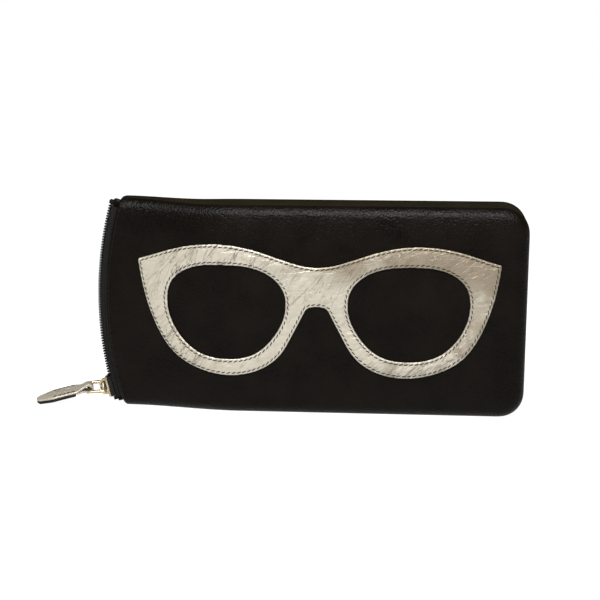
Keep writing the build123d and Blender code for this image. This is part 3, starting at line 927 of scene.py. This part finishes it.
@dataclass(frozen=True)
class WallLayer:
    """One layer of a wall: leather, padding or lining.

    Attributes:
        name: What the layer is, as in the names of its CAD nodes.
        inset: How far it lies inside the outline.
        depth: How far its outer face lies below the wall's face.
        thickness: Its thickness.
        radius: Radius of the bow that it ends on.
        columns: Faces along the outline.
        face_rows: Faces from the roll to the middle line.
        rolled: Whether it turns the edge and runs down to the seam.
        curl: How far the leather's edge turns in at the seam.
        setback: How much sooner the padding stops than the leather.
    """

    name: str
    inset: float
    depth: float
    thickness: float
    radius: float
    columns: int
    face_rows: int
    rolled: bool = True
    curl: float = 0.9
    setback: float = 3.6

    def rows(self, form: CaseForm) -> list[Row]:
        """(inset, depth, reach) for each row of points, from the seam to the middle line."""
        roll = form.roll - self.depth
        rows: list[Row] = []
        if self.rolled:
            foot = form.seam if self.depth == 0 else form.seam + self.setback
            curl = self.curl if self.depth == 0 else 0.0
            rows.append((self.inset + curl, foot + 0.05, 0.0))
            rows.append((self.inset + curl * 0.3, foot - 0.15, 0.0))
            rows.append((self.inset, foot - 0.5, 0.0))
            for step in range(7):
                angle = math.radians(15.0 * step)
                rows.append((self.inset + roll * (1 - math.cos(angle)),
                             self.depth + roll * (1 - math.sin(angle)), 0.0))
        else:
            rows.append((self.inset, self.depth, 0.0))
        last_inset = rows[-1][0]
        rows += [(last_inset, self.depth, step / self.face_rows) for step in range(1, self.face_rows + 1)]
        return rows

    def build(self, form: CaseForm, side: Side) -> bpy.types.Object:
        """The layer's mesh on one side of the case."""
        rim = Rim(form, self.radius)
        rows = self.rows(form)
        last = len(rows) - 1

        def place(share: float, across: float) -> Point:
            """The point at a share along the outline and a share from the seam inwards."""
            inset, depth, reach = rows[round(across * last)]
            along = share if side is Side.FRONT else 1.0 - share
            x, z = rim.inner_spot(along, inset, reach)
            standing = max(0.0, 1.0 - (depth - self.depth) / form.roll)
            lift = form.relief(x, z) * standing if self.depth == 0 else 0.0
            return x, side.value * (form.half_depth(x) - depth + lift), z

        return shaped_sheet(f"{side.label}_{self.name}_soft", self.columns, last, place)


@dataclass
class Walls:
    """The padded leather walls with their linings.

    Attributes:
        form: The case's form.
        palette: The finishes.
        leather: Thickness of the leather.
        padding: Thickness of the padding.
        lining: Thickness of the lining cloth.
        hem: How far the leather turns in at the mouth.
        clearance: Gap on each face of the padding.
        lining_inset: How much further in than the leather the lining stops.
    """

    form: CaseForm
    palette: Palette
    leather: float = 1.2
    padding: float = 2.5
    lining: float = 0.5
    hem: float = 8.0
    clearance: float = 0.1
    lining_inset: float = 0.6

    def build(self) -> None:
        """Make both walls, layer by layer."""
        inner_radius = self.form.bow_radius - self.hem
        skin = WallLayer("panel", inset=0.0, depth=0.0, thickness=self.leather,
                         radius=self.form.bow_radius, columns=210, face_rows=15)
        foam = WallLayer("padding", inset=self.leather + self.clearance, depth=self.leather + self.clearance,
                         thickness=self.padding - 2 * self.clearance, radius=inner_radius,
                         columns=120, face_rows=7)
        cloth = WallLayer("lining", inset=self.leather + self.lining_inset, depth=self.leather + self.padding,
                          thickness=self.lining, radius=inner_radius, columns=140, face_rows=9, rolled=False)
        for side in Side:
            self._skin(skin, side)
            self._foam(foam, side)
            self._cloth(cloth, side)

    def _skin(self, layer: WallLayer, side: Side) -> None:
        """The leather wall, twice as thick along the hem."""
        piece = layer.build(self.form, side)
        group = piece.vertex_groups.new(name="hem")
        for vertex in piece.data.vertices:
            x, _, z = vertex.co / MM
            inside = self.form.bow_radius - math.hypot(x - self.form.bow_x, z - self.form.middle_z)
            group.add([vertex.index], 1.0 if inside < self.hem else 0.5, "REPLACE")
        thicken(piece, 2 * layer.thickness, group="hem")
        soften(piece)
        apply_modifiers(piece)
        shade(piece, 70.0)
        dress(piece, self.palette.wall, "black_leather")
        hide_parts(f"{side.label}_panel")
        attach(piece, side.body)
        report(piece)

    def _foam(self, layer: WallLayer, side: Side) -> None:
        """The foam between leather and lining."""
        piece = layer.build(self.form, side)
        thicken(piece, layer.thickness)
        apply_modifiers(piece)
        shade(piece)
        dress(piece, self.palette.foam, "foam")
        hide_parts(f"{side.label}_padding")
        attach(piece, side.body)
        report(piece)

    def _cloth(self, layer: WallLayer, side: Side) -> None:
        """The lining cloth."""
        piece = layer.build(self.form, side)
        thicken(piece, layer.thickness)
        apply_modifiers(piece)
        shade(piece)
        dress(piece, self.palette.lining, "lining_cloth")
        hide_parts(f"{side.label}_lining")
        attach(piece, side.body)
        report(piece)


@dataclass
class EdgeStrip:
    """The strip between front and back, in two halves.

    Attributes:
        form: The case's form.
        palette: The finishes.
        gap: Gap in the side seams.
        leather: Thickness of the leather.
        bend_width: Least width of a half, from the middle plane.
        curl: How far the leather's edge turns in at the seam.
        cloth: Thickness of the lining cloth.
        cloth_inset: How far the lining lies inside the outline.
        cloth_hem: Distance of the lining's end from the mouth.
        cloth_setback: Distance of the lining's edge from the wall's face.
        cloth_width: Width that a lining half is cut to; not used.
    """

    form: CaseForm
    palette: Palette
    gap: float = 0.15
    leather: float = 1.2
    bend_width: float = 1.85
    curl: float = 0.9
    cloth: float = 0.5
    cloth_inset: float = 1.8
    cloth_hem: float = 8.6
    cloth_setback: float = 4.5
    cloth_width: float = 10.0

    def build(self) -> None:
        """Make the strip and its lining, front half and back half."""
        for side in Side:
            seam = self.form.seam + self.gap
            piece = self._half("gusset", side, 0.0, self.form.bow_radius, seam, self.curl)
            thicken(piece, self.leather)
            soften(piece)
            self._finish(piece, side, self.palette.edge_strip, "black_leather", "gusset")
            lining = self._half("gusset_lining", side, self.cloth_inset,
                                self.form.bow_radius - self.cloth_hem, self.cloth_setback, 0.0)
            thicken(lining, self.cloth)
            self._finish(lining, side, self.palette.lining, "lining_cloth", "gusset_lining")

    def _half(self, name: str, side: Side, inset: float, radius: float, setback: float,
              curl: float) -> bpy.types.Object:
        """One half of the strip, from the middle plane to its seam.

        Args:
            name: The piece's name without its half.
            side: The wall it is sewn to.
            inset: How far it lies inside the outline.
            radius: Radius of the bow that it ends on.
            setback: Distance of its edge from the wall's face.
            curl: How far its edge turns in at the seam.

        Returns:
            The half as an open sheet.
        """
        rim = Rim(self.form, radius)
        rows = [(inset, share, 0.0) for share in (0.0, 0.17, 0.34, 0.5, 0.66, 0.8)]
        rows += [(inset, 1.0, -0.62), (inset + curl * 0.3, 1.0, -0.2), (inset + curl, 1.0, 0.0)]
        last = len(rows) - 1

        def place(share: float, across: float) -> Point:
            """The point at a share along the outline and a share from the middle plane outwards."""
            depth, part, back_off = rows[round(across * last)]
            along = share if side is Side.FRONT else 1.0 - share
            x, z = rim.inner_spot(along, depth, 0.0)
            width = max(self.bend_width, self.form.half_depth(x) - setback)
            reach = width * part + back_off * min(1.0, width / 4.0)
            return x, side.value * reach, z

        return shaped_sheet(f"{name}_{side.label}_half", 210, last, place)

    def _finish(self, piece: bpy.types.Object, side: Side, finish: bpy.types.Material, slot: str,
                node: str) -> None:
        """Apply and dress a half and bake its transform."""
        apply_modifiers(piece)
        shade(piece, 70.0)
        dress(piece, finish, slot)
        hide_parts(node)
        side.body
        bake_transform(piece)
        report(piece)


# ---------------------------------------------------------------- stitches and applique


@dataclass(frozen=True)
class Stitching:
    """Rows of thread, one raised bit for each stitch of a CAD node.

    Attributes:
        node: The CAD node that places the stitches.
        body: The body they ride on.
        outward: A direction that points away from the leather.
        length: Length of a bit, in millimetres.
        width: Its width.
        slant: Turn of a bit off its row, in degrees.
        sink: How deep a bit's middle lies in the leather.
    """

    node: str
    body: str
    outward: Point
    length: float = 2.5
    width: float = 0.44
    slant: float = 14.0
    sink: float = 0.09

    def _bit(self) -> bpy.types.Object:
        """One stitch, thickest in the middle and dipping at its ends."""
        piece = small_ball((0.0, math.pi / 2, 0.0))
        for vertex in piece.data.vertices:
            x, y, z = vertex.co
            full = math.sqrt(max(0.0, 1.0 - (2 * x) ** 2))
            plump = (0.25 + 0.75 * full) / max(full, 0.35)
            dip = 0.16 * (2 * x) ** 4
            vertex.co = (x * self.length * MM, y * self.width * plump * MM,
                         (z * 0.36 * plump - dip) * MM)
        shade(piece, 80.0)
        return piece

    def build(self, lift: Callable[[Vector], float], finish: bpy.types.Material) -> None:
        """Lay the stitches.

        Args:
            lift: Gives how far the leather under a point stands off its CAD face, in metres.
            finish: The thread.
        """
        shaky = random.Random(len(self.node))
        away = Vector(self.outward)
        places = []
        for centre, along, normal in block_places(self.node):
            if normal.dot(away) < 0:
                normal = -normal
            if along.dot(Vector((1.0, 0.2, 0.5))) < 0:
                along = -along
            turn = Matrix.Rotation(math.radians(self.slant + shaky.uniform(-4, 4)), 3, normal)
            seat = centre + normal * (lift(centre) - self.sink * MM)
            places.append(standing_matrix(seat, turn @ along, normal))
        piece = copies_at(self._bit(), places, f"{self.node}_thread")
        dress(piece, finish, "thread")
        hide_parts(self.node)
        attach(piece, self.body)
        report(piece)


@dataclass
class Applique:
    """The spectacle shape in foiled leather, sewn to the front.

    Attributes:
        form: The case's form, whose padded front it follows.
        palette: The finishes.
        voxel: Size of the faces it is rebuilt with.
        furrow: Depth of the furrow that the stitches pull in.
    """

    form: CaseForm
    palette: Palette
    voxel: float = 0.46
    furrow: float = 0.20

    def _lift(self, spot: Vector) -> float:
        """How far the front stands proud at a point, in metres."""
        return self.form.relief(spot.x / MM, spot.z / MM) * MM

    def _creases(self, x: float, z: float) -> float:
        """Height of the crinkles in the foil, in millimetres."""
        slope = 0.55 if x > 0 else -0.45
        along = (x + slope * z) / 1.5
        across = (z - slope * x) / 7.0
        ridges = 1.0 - abs(noise.noise(Vector((along, 2.0, across)))) * 2.0
        where = smooth_share(noise.noise(Vector((x / 14.0, 5.0, z / 11.0))) * 1.4 + 0.55)
        return 0.13 * ridges * where + 0.05 * noise.noise(Vector((x / 1.1, 0.0, z / 1.1)))

    def build(self) -> None:
        """Make the applique and its stitches."""
        piece = copy_of_node("applique", "applique_foil")
        rebuild = piece.modifiers.new("rebuild", "REMESH")
        rebuild.mode = "VOXEL"
        rebuild.voxel_size = self.voxel * MM
        even = piece.modifiers.new("even", "SMOOTH")
        even.factor = 0.5
        even.iterations = 3
        apply_modifiers(piece)
        seams = block_places("applique_stitching")
        tree = KDTree(len(seams))
        for index, (centre, _, _) in enumerate(seams):
            tree.insert(centre, index)
        tree.balance()
        for vertex in piece.data.vertices:
            x, y, z = vertex.co / MM
            above = (self.form.half_depth(x) + y * Side.FRONT.value) if y < 0 else 0.0
            top = smooth_share(above / 0.7)
            gap = tree.find(vertex.co)[2] / MM
            press = self.furrow * max(0.0, 1.0 - gap / 1.15) ** 1.5
            swell = 0.16 * smooth_share((gap - 0.9) / 1.6)
            crinkle = self._creases(x, z) * smooth_share(gap / 1.4)
            vertex.co.y -= (self.form.relief(x, z) + top * (swell - press + crinkle)) * MM
        shade(piece, 80.0)
        dress(piece, self.palette.foil, "silver_leather")
        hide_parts("applique")
        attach(piece, Side.FRONT.body)
        report(piece)
        Stitching("applique_stitching", Side.FRONT.body, (0.0, -1.0, 0.0)).build(
            lambda spot: self._lift(spot) - self.furrow * 0.75 * MM, self.palette.thread
        )


# ---------------------------------------------------------------- zip


@dataclass
class Zip:
    """The bowed zip: interlocking teeth, woven tapes, stops, tabs and slider.

    Attributes:
        form: The case's form.
        palette: The finishes.
        chain_radius: Radius of the row of teeth about the bow's axis.
        pitch: Distance from one tooth to the next in one row.
        tape_near: Distance of the tape's edge at the teeth from the middle plane.
        tape_far: Distance at which the tape turns in along the hem.
        tape_depth: How much nearer the bow's axis the tape is than the teeth.
        tape_thickness: Thickness of the tape.
        tab_length: Length of an end tab along the mouth.
        tab_depth: How far a tab reaches into the case.
        tab_inset: How far a tab's middle lies inside the teeth.
        fixed_low: Height of the chain's lower end that would stay with the case; not used.
        fixed_high: The same at its upper end, where the open slider stands; not used.
        blend_length: Length over which it would then come to go with its wall; not used.
    """

    form: CaseForm
    palette: Palette
    chain_radius: float = 148.5
    pitch: float = 1.1
    tape_near: float = 1.25
    tape_far: float = 4.4
    tape_depth: float = 1.2
    tape_thickness: float = 0.5
    tab_length: float = 3.4
    tab_depth: float = 6.6
    tab_inset: float = 3.9
    fixed_low: float = 6.0
    fixed_high: float = 19.0
    blend_length: float = 24.0

    def build(self) -> None:
        """Make the whole zip."""
        for side in Side:
            for end in End:
                self._teeth(side, end)
                self._tape(side, end)
            self._leg(side)
            seam = Stitching(f"{side.label}_mouth_stitching", side.body, (0.0, side.value, 0.0),
                             length=1.75, width=0.36, slant=4.0)
            seam.build(lambda spot: 0.0, self.palette.black_thread)
        dress_node("slider_body", self.palette.enamelled_metal)
        dress_node("slider_crown", self.palette.metal)
        for end in End:
            dress_node(f"zip_{end.name.lower()}_stop", self.palette.coil)
            self._tab(end)

    def _tab(self, end: End) -> None:
        """The leather tab that closes an end of the mouth behind the stop."""
        low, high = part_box(f"zip_{end.name.lower()}_tab")
        outer_z = (high.z if end is End.UPPER else low.z) / MM - self.form.middle_z
        start = end.value * math.asin((abs(outer_z) - self.tab_length) / self.chain_radius)
        stop = math.asin((outer_z - end.value * 0.25) / self.chain_radius)
        deselect_all()
        bpy.ops.mesh.primitive_cube_add(size=1.0)
        bpy.ops.object.mode_set(mode="EDIT")
        bpy.ops.mesh.select_all(action="SELECT")
        bpy.ops.mesh.subdivide(number_cuts=3)
        bpy.ops.object.mode_set(mode="OBJECT")
        piece = bpy.context.active_object
        piece.name = piece.data.name = f"zip_{end.name.lower()}_tab_soft"
        half = (high.y - low.y) / MM
        for vertex in piece.data.vertices:
            x, y, z = vertex.co
            radius = self.chain_radius - self.tab_inset + x * self.tab_depth
            vertex.co = Vector(self._bowed(start + (stop - start) * (z + 0.5), radius, y * half)) * MM
        rounding = piece.modifiers.new("edges", "BEVEL")
        rounding.width = 0.5 * MM
        rounding.segments = 3
        apply_modifiers(piece)
        face_outwards(piece)
        shade(piece, 60.0)
        dress(piece, self.palette.wall, "black_leather")
        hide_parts(f"zip_{end.name.lower()}_tab")
        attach(piece, "case")
        report(piece)

    def _bowed(self, angle: float, radius: float, y: float) -> Point:
        """A point at an angle above the mouth's middle, in radians."""
        return self.form.bow_x - radius * math.cos(angle), y, self.form.middle_z + radius * math.sin(angle)

    def _tooth(self, side: Side) -> bpy.types.Object:
        """One element of the coil: x along the chain, y across it and z out of the mouth."""
        piece = small_ball((math.pi / 2, 0.0, 0.0))
        for vertex in piece.data.vertices:
            x, y, z = vertex.co
            full = max(0.3, math.sqrt(max(0.0, 1.0 - (2 * y) ** 2)))
            plump = (0.3 + 0.7 * full) / full
            vertex.co = (x * 0.80 * plump * MM, (y * 3.0 + side.value * 1.15) * MM,
                         (z * 1.85 * plump - 0.10 * (2 * y) ** 2) * MM)
        shade(piece, 80.0)
        return piece

    def _teeth(self, side: Side, end: End) -> None:
        """The teeth of one row, in one half of the mouth."""
        low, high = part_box(f"{side.label}_zip_teeth")
        start = math.asin((low.z / MM - self.form.middle_z) / self.chain_radius)
        stop = math.asin((high.z / MM - self.form.middle_z) / self.chain_radius)
        step = self.pitch / self.chain_radius
        offset = 0.25 if side is Side.FRONT else 0.75
        count = int((stop - start) / step - offset)
        places = []
        for index in range(count + 1):
            angle = start + (index + offset) * step
            if (angle > 0) != (end is End.UPPER):
                continue
            centre = Vector(self._bowed(angle, self.chain_radius, 0.0)) * MM
            outward = Vector((-math.cos(angle), 0.0, math.sin(angle)))
            along = Vector((math.sin(angle), 0.0, math.cos(angle)))
            places.append(standing_matrix(centre, along, outward))
        across = Vector((0.0, 1.0, 0.0))
        mirrored = (places[0].to_3x3() @ across).dot(across) < 0
        shape = Side.BACK if mirrored == (side is Side.FRONT) else Side.FRONT
        piece = copies_at(self._tooth(shape), places, f"{side.label}_{end.name.lower()}_teeth")
        self._finish(piece, side, end, self.palette.coil, "zip_teeth", f"{side.label}_zip_teeth", mixed=False)

    def _tape(self, side: Side, end: End) -> None:
        """The flat part of a tape beside the teeth, in one half of the mouth."""
        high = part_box(f"{side.label}_zip_tape")[1]
        radius = self.chain_radius - self.tape_depth
        reach = math.asin((high.z / MM - self.form.middle_z) / radius)
        rows = [(self.tape_near, 0.0), (2.1, 0.0), (3.0, 0.0), (3.8, -0.02), (self.tape_far, -0.12)]
        last = len(rows) - 1
        flipped = (side is Side.FRONT) == (end is End.LOWER)

        def place(share: float, across: float) -> Point:
            """The point at a share from the mouth's middle and a share away from the teeth."""
            y, sag = rows[round((1.0 - across if flipped else across) * last)]
            return self._bowed(end.value * reach * share, radius + sag, side.value * y)

        piece = shaped_sheet(f"{side.label}_{end.name.lower()}_tape", 40, last, place)
        thicken(piece, self.tape_thickness, 0.0)
        self._finish(piece, side, end, self.palette.tape, "zip_tape", f"{side.label}_zip_tape", mixed=True)

    def _leg(self, side: Side) -> None:
        """The part of a tape that turns in and is sewn to the hem."""
        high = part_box(f"{side.label}_zip_tape")[1]
        radius = self.chain_radius - self.tape_depth
        reach = math.asin((high.z / MM - self.form.middle_z) / radius)
        rows = [(self.tape_far, -0.12), (4.62, -0.4), (4.7, -0.9), (4.7, -3.0), (4.7, -5.2), (4.7, -7.3)]
        last = len(rows) - 1

        def place(share: float, across: float) -> Point:
            """The point at a share up the mouth and a share into the case."""
            y, sag = rows[round((across if side is Side.FRONT else 1.0 - across) * last)]
            return self._bowed(reach * (2 * share - 1), radius + sag, side.value * y)

        piece = shaped_sheet(f"{side.label}_tape_leg", 80, last, place)
        thicken(piece, self.tape_thickness, 0.0)
        apply_modifiers(piece)
        shade(piece)
        dress(piece, self.palette.tape, "zip_tape")
        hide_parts(f"{side.label}_zip_tape")
        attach(piece, side.body)
        report(piece)

    def _finish(self, piece: bpy.types.Object, side: Side, end: End, finish: bpy.types.Material, slot: str,
                node: str, mixed: bool) -> None:
        """Apply and dress a piece and bake its transform.

        Args:
            piece: The teeth or the flat tape.
            side: The wall it lies beside.
            end: The end of the mouth that it lies at; not used.
            finish: Its material.
            slot: The record's material slot.
            node: The CAD node it replaces.
            mixed: Whether it would also bend across its width, as the tape would; not used.
        """
        apply_modifiers(piece)
        shade(piece)
        dress(piece, finish, slot)
        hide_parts(node)
        side.body
        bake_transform(piece)
        report(piece)


# ---------------------------------------------------------------- pull


@dataclass
class Pull:
    """The metal link and the leather strap that hangs from it.

    Attributes:
        palette: The finishes.
        length: Length of the strap from the link's bar.
        width: Its full width.
        neck: Its width where it wraps the bar.
        face: Thickness of the foiled face.
        backing: Thickness of the dark backing.
        tip_radius: Radius of the tip.
        tip_start: Distance from the bar at which the strap starts to narrow to its tip.
        shoulder_start: Distance at which the neck starts to widen.
        shoulder_end: Distance at which the strap has its full width.
        loop_radius: Radius of the neck's turn round the bar.
        border: How much wider the backing is on each edge.
        crown: How far the strap's middle stands above its edges.
        arch: How far the strap bows up along its length.
        yaw: Swing of the strap to the front, in degrees.
        lean: Lean of its upper face to the front, in degrees.
        rest_height: Height of the tip's middle.
    """

    palette: Palette
    length: float = 22.2
    width: float = 8.0
    neck: float = 4.0
    face: float = 0.9
    backing: float = 1.2
    tip_radius: float = 2.4
    tip_start: float = 15.0
    shoulder_start: float = 2.2
    shoulder_end: float = 5.5
    loop_radius: float = 1.25
    border: float = 0.22
    crown: float = 0.18
    arch: float = 0.35
    yaw: float = 12.0
    lean: float = 12.0
    rest_height: float = 1.35

    def __post_init__(self) -> None:
        """Find the strap's own axes from the joint that it swings on."""
        joint = next(item for item in frame["joints"] if item["name"] == "strap_swing")
        self.origin = Vector(joint["pos_m"]) / MM
        turn = math.radians(self.yaw)
        dip = math.asin((self.origin.z - self.rest_height) / self.length)
        tilt = math.radians(self.lean)
        level = math.cos(dip)
        self.along = Vector((-level * math.cos(turn), -level * math.sin(turn), -math.sin(dip)))
        across = Vector((math.sin(turn), -math.cos(turn), 0.0))
        self.up = self.along.cross(across) * math.cos(tilt) + across * math.sin(tilt)
        self.across = self.up.cross(self.along)

    def _spot(self, along: float, across: float, up: float) -> Point:
        """A point given on the strap's own axes."""
        arch = self.arch * math.sin(math.pi * min(1.0, max(0.0, along / self.length)))
        return tuple(self.origin + self.along * along + self.across * across + self.up * (up + arch))

    def _half_width(self, along: float) -> float:
        """Half the strap's width at a distance from the bar."""
        if along < self.shoulder_end:
            share = smooth_share((along - self.shoulder_start) / (self.shoulder_end - self.shoulder_start))
            return self.neck / 2 + (self.width - self.neck) / 2 * share
        if along < self.tip_start:
            return self.width / 2
        tip = self.length - self.tip_radius
        if along < tip:
            share = (along - self.tip_start) / (tip - self.tip_start)
            return self.width / 2 + (self.tip_radius - self.width / 2) * share**1.25
        return math.sqrt(max(0.0, self.tip_radius**2 - (along - tip) ** 2))

    def _strip(self, name: str, line: list[tuple[float, float]], border: float) -> bpy.types.Object:
        """A sheet along a side view, as wide as the strap.

        Args:
            name: The piece's name.
            line: (along, up) for each row of points.
            border: How much wider than the strap it is on each edge.

        Returns:
            The open sheet.
        """
        last = len(line) - 1

        def place(share: float, across: float) -> Point:
            """The point at a share along the strip and a share across it."""
            along, up = line[round(share * last)]
            half = self._half_width(along) + (border if along > self.shoulder_end else 0.0)
            edge = 2 * across - 1
            crown = self.crown * (1 - edge * edge) if along > self.shoulder_end else 0.0
            return self._spot(along, edge * half, up + crown)

        return shaped_sheet(name, last, 10, place)

    def build(self) -> None:
        """Make the strap and its stitches."""
        dress_node("pull_link", self.palette.metal)
        loop = self.loop_radius + self.face / 2
        wrap = [(loop * math.cos(math.radians(angle)), loop * math.sin(math.radians(angle)))
                for angle in range(-80, -281, -20)]
        under = [(self.shoulder_end, -0.35), (3.6, -0.5), (2.2, -0.9), (1.2, -1.4)]
        over = [(1.2, 1.4), (2.2, 1.0), (3.6, 0.62), (4.6, 0.5)]
        flat = [(self.shoulder_end + index * (self.length - 0.02 - self.shoulder_end) / 22, 0.45)
                for index in range(23)]
        face = self._strip("strap_face", under + wrap + over + flat, 0.0)
        self._finish(face, self.face, self.palette.foil, "silver_leather", "pull_strap_face")
        lower = [(along, -self.backing / 2) for along, _ in flat]
        backing = self._strip("strap_backing", lower, self.border)
        self._finish(backing, self.backing, self.palette.painted_edge, "dark_backing", "pull_strap_backing")
        seam = Stitching("pull_stitching", "strap", tuple(self.up), length=1.9, width=0.46, slant=3.0)
        seam.build(lambda spot: 0.42 * MM, self.palette.black_thread)

    def _finish(self, piece: bpy.types.Object, thickness: float, finish: bpy.types.Material, slot: str,
                node: str) -> None:
        """Thicken, round, dress and place a layer of the strap."""
        thicken(piece, thickness, 0.0)
        soften(piece, 2)
        apply_modifiers(piece)
        face_outwards(piece)
        shade(piece, 60.0)
        dress(piece, finish, slot)
        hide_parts(node)
        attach(piece, "strap")
        report(piece)


# ---------------------------------------------------------------- studio


@dataclass
class Studio:
    """A white light table, soft lights and the camera.

    Attributes:
        azimuth: Turn of the camera to the closed end, in degrees.
        elevation: Its height above the horizon, in degrees.
        distance: Its distance from the target, in millimetres.
        lens: Focal length on a 36 mm sensor.
        target: The point in the middle of the frame.
        table_glow: Light that comes up through the table.
        room_light: Light that the room sends onto the case from all round.
    """

    azimuth: float = 4.85
    elevation: float = 11.0
    distance: float = 600.0
    lens: float = 87.5
    target: Point = (-4.23, 0.0, 45.05)
    table_glow: float = 0.97
    room_light: float = 0.16

    def build(self) -> None:
        """Set up the floor, the backdrop, the lights and the camera."""
        self._floor()
        self._world()
        self._softbox("overhead", (0.0, -0.42, 0.56), (0.0, 0.0, 0.06), (0.40, 0.14), 9.5)
        self._softbox("front_fill", (-0.45, -0.80, 0.70), (-0.03, 0.0, 0.04), (0.5, 0.5), 1.5)
        self._camera()

    def _floor(self) -> None:
        """A plain pale floor that glows evenly, as a light table does."""
        deselect_all()
        bpy.ops.mesh.primitive_plane_add(size=6.0)
        floor = bpy.context.active_object
        floor.name = "floor"
        nodes = Nodes("pale_floor")
        wander = nodes.noise(nodes.coordinates, 3.0, 2.0)
        nodes.colour(nodes.blend(wander, (0.20, 0.20, 0.20), (0.24, 0.24, 0.24)))
        nodes.set(Roughness=0.9, Specular_IOR_Level=0.0, Emission_Strength=self.table_glow)
        nodes.shader.inputs["Emission Color"].default_value = (1.0, 1.0, 1.0, 1.0)
        floor.data.materials.append(nodes.material)
        floor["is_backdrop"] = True

    def _world(self) -> None:
        """A white backdrop that only the camera sees, and a dim room that lights the case."""
        world = bpy.data.worlds.new("studio_room")
        world.use_nodes = True
        tree = world.node_tree
        room = tree.nodes["Background"]
        room.inputs["Color"].default_value = (1.0, 0.985, 0.95, 1.0)
        room.inputs["Strength"].default_value = self.room_light
        backdrop = tree.nodes.new("ShaderNodeBackground")
        backdrop.inputs["Color"].default_value = (1.0, 1.0, 1.0, 1.0)
        seen = tree.nodes.new("ShaderNodeLightPath").outputs["Is Camera Ray"]
        chosen = tree.nodes.new("ShaderNodeMixShader")
        tree.links.new(seen, chosen.inputs[0])
        tree.links.new(room.outputs[0], chosen.inputs[1])
        tree.links.new(backdrop.outputs[0], chosen.inputs[2])
        tree.links.new(chosen.outputs[0], tree.nodes["World Output"].inputs["Surface"])
        bpy.context.scene.world = world
        bpy.context.scene.view_settings.view_transform = "Standard"

    def _softbox(self, name: str, place: Point, aim: Point, size: tuple[float, float], power: float) -> None:
        """A rectangular light aimed at a point, all in metres and watts."""
        lamp = bpy.data.lights.new(name, "AREA")
        lamp.shape = "RECTANGLE"
        lamp.size, lamp.size_y = size
        lamp.energy = power
        holder = bpy.data.objects.new(name, lamp)
        holder.location = place
        holder.rotation_euler = (Vector(aim) - Vector(place)).to_track_quat("-Z", "Y").to_euler()
        bpy.context.scene.collection.objects.link(holder)

    def _camera(self) -> None:
        """The camera, looking at the case's middle."""
        turn, rise = math.radians(self.azimuth), math.radians(self.elevation)
        away = Vector((math.sin(turn) * math.cos(rise), -math.cos(turn) * math.cos(rise), math.sin(rise)))
        lens = bpy.data.cameras.new("camera")
        lens.sensor_width = 36.0
        lens.lens = self.lens
        lens.clip_start = 0.01
        camera = bpy.data.objects.new("camera", lens)
        camera.location = (Vector(self.target) + away * self.distance) * MM
        camera.rotation_euler = (-away).to_track_quat("-Z", "Y").to_euler()
        bpy.context.scene.collection.objects.link(camera)
        bpy.context.scene.camera = camera


def report(piece: bpy.types.Object) -> None:
    """Log a finished piece with its size."""
    TRACE.info("%s: %d faces", piece.name, len(piece.data.polygons))


def write_sizes() -> None:
    """Work out the CAD box and the finished model's box side by side."""
    boxes = {"cad": CAD_BOX, "visual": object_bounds()}
    plain = {name: [[float(value) for value in corner] for corner in box] for name, box in boxes.items()}


def main() -> None:
    """Build the case, piece by piece."""
    logging.basicConfig(level=logging.INFO, format="%(message)s")
    form = CaseForm()
    palette = Palette()
    Walls(form, palette).build()
    EdgeStrip(form, palette).build()
    Applique(form, palette).build()
    Zip(form, palette).build()
    Pull(palette).build()
    Studio().build()
    write_sizes()


if __name__ == "__main__":
    main()
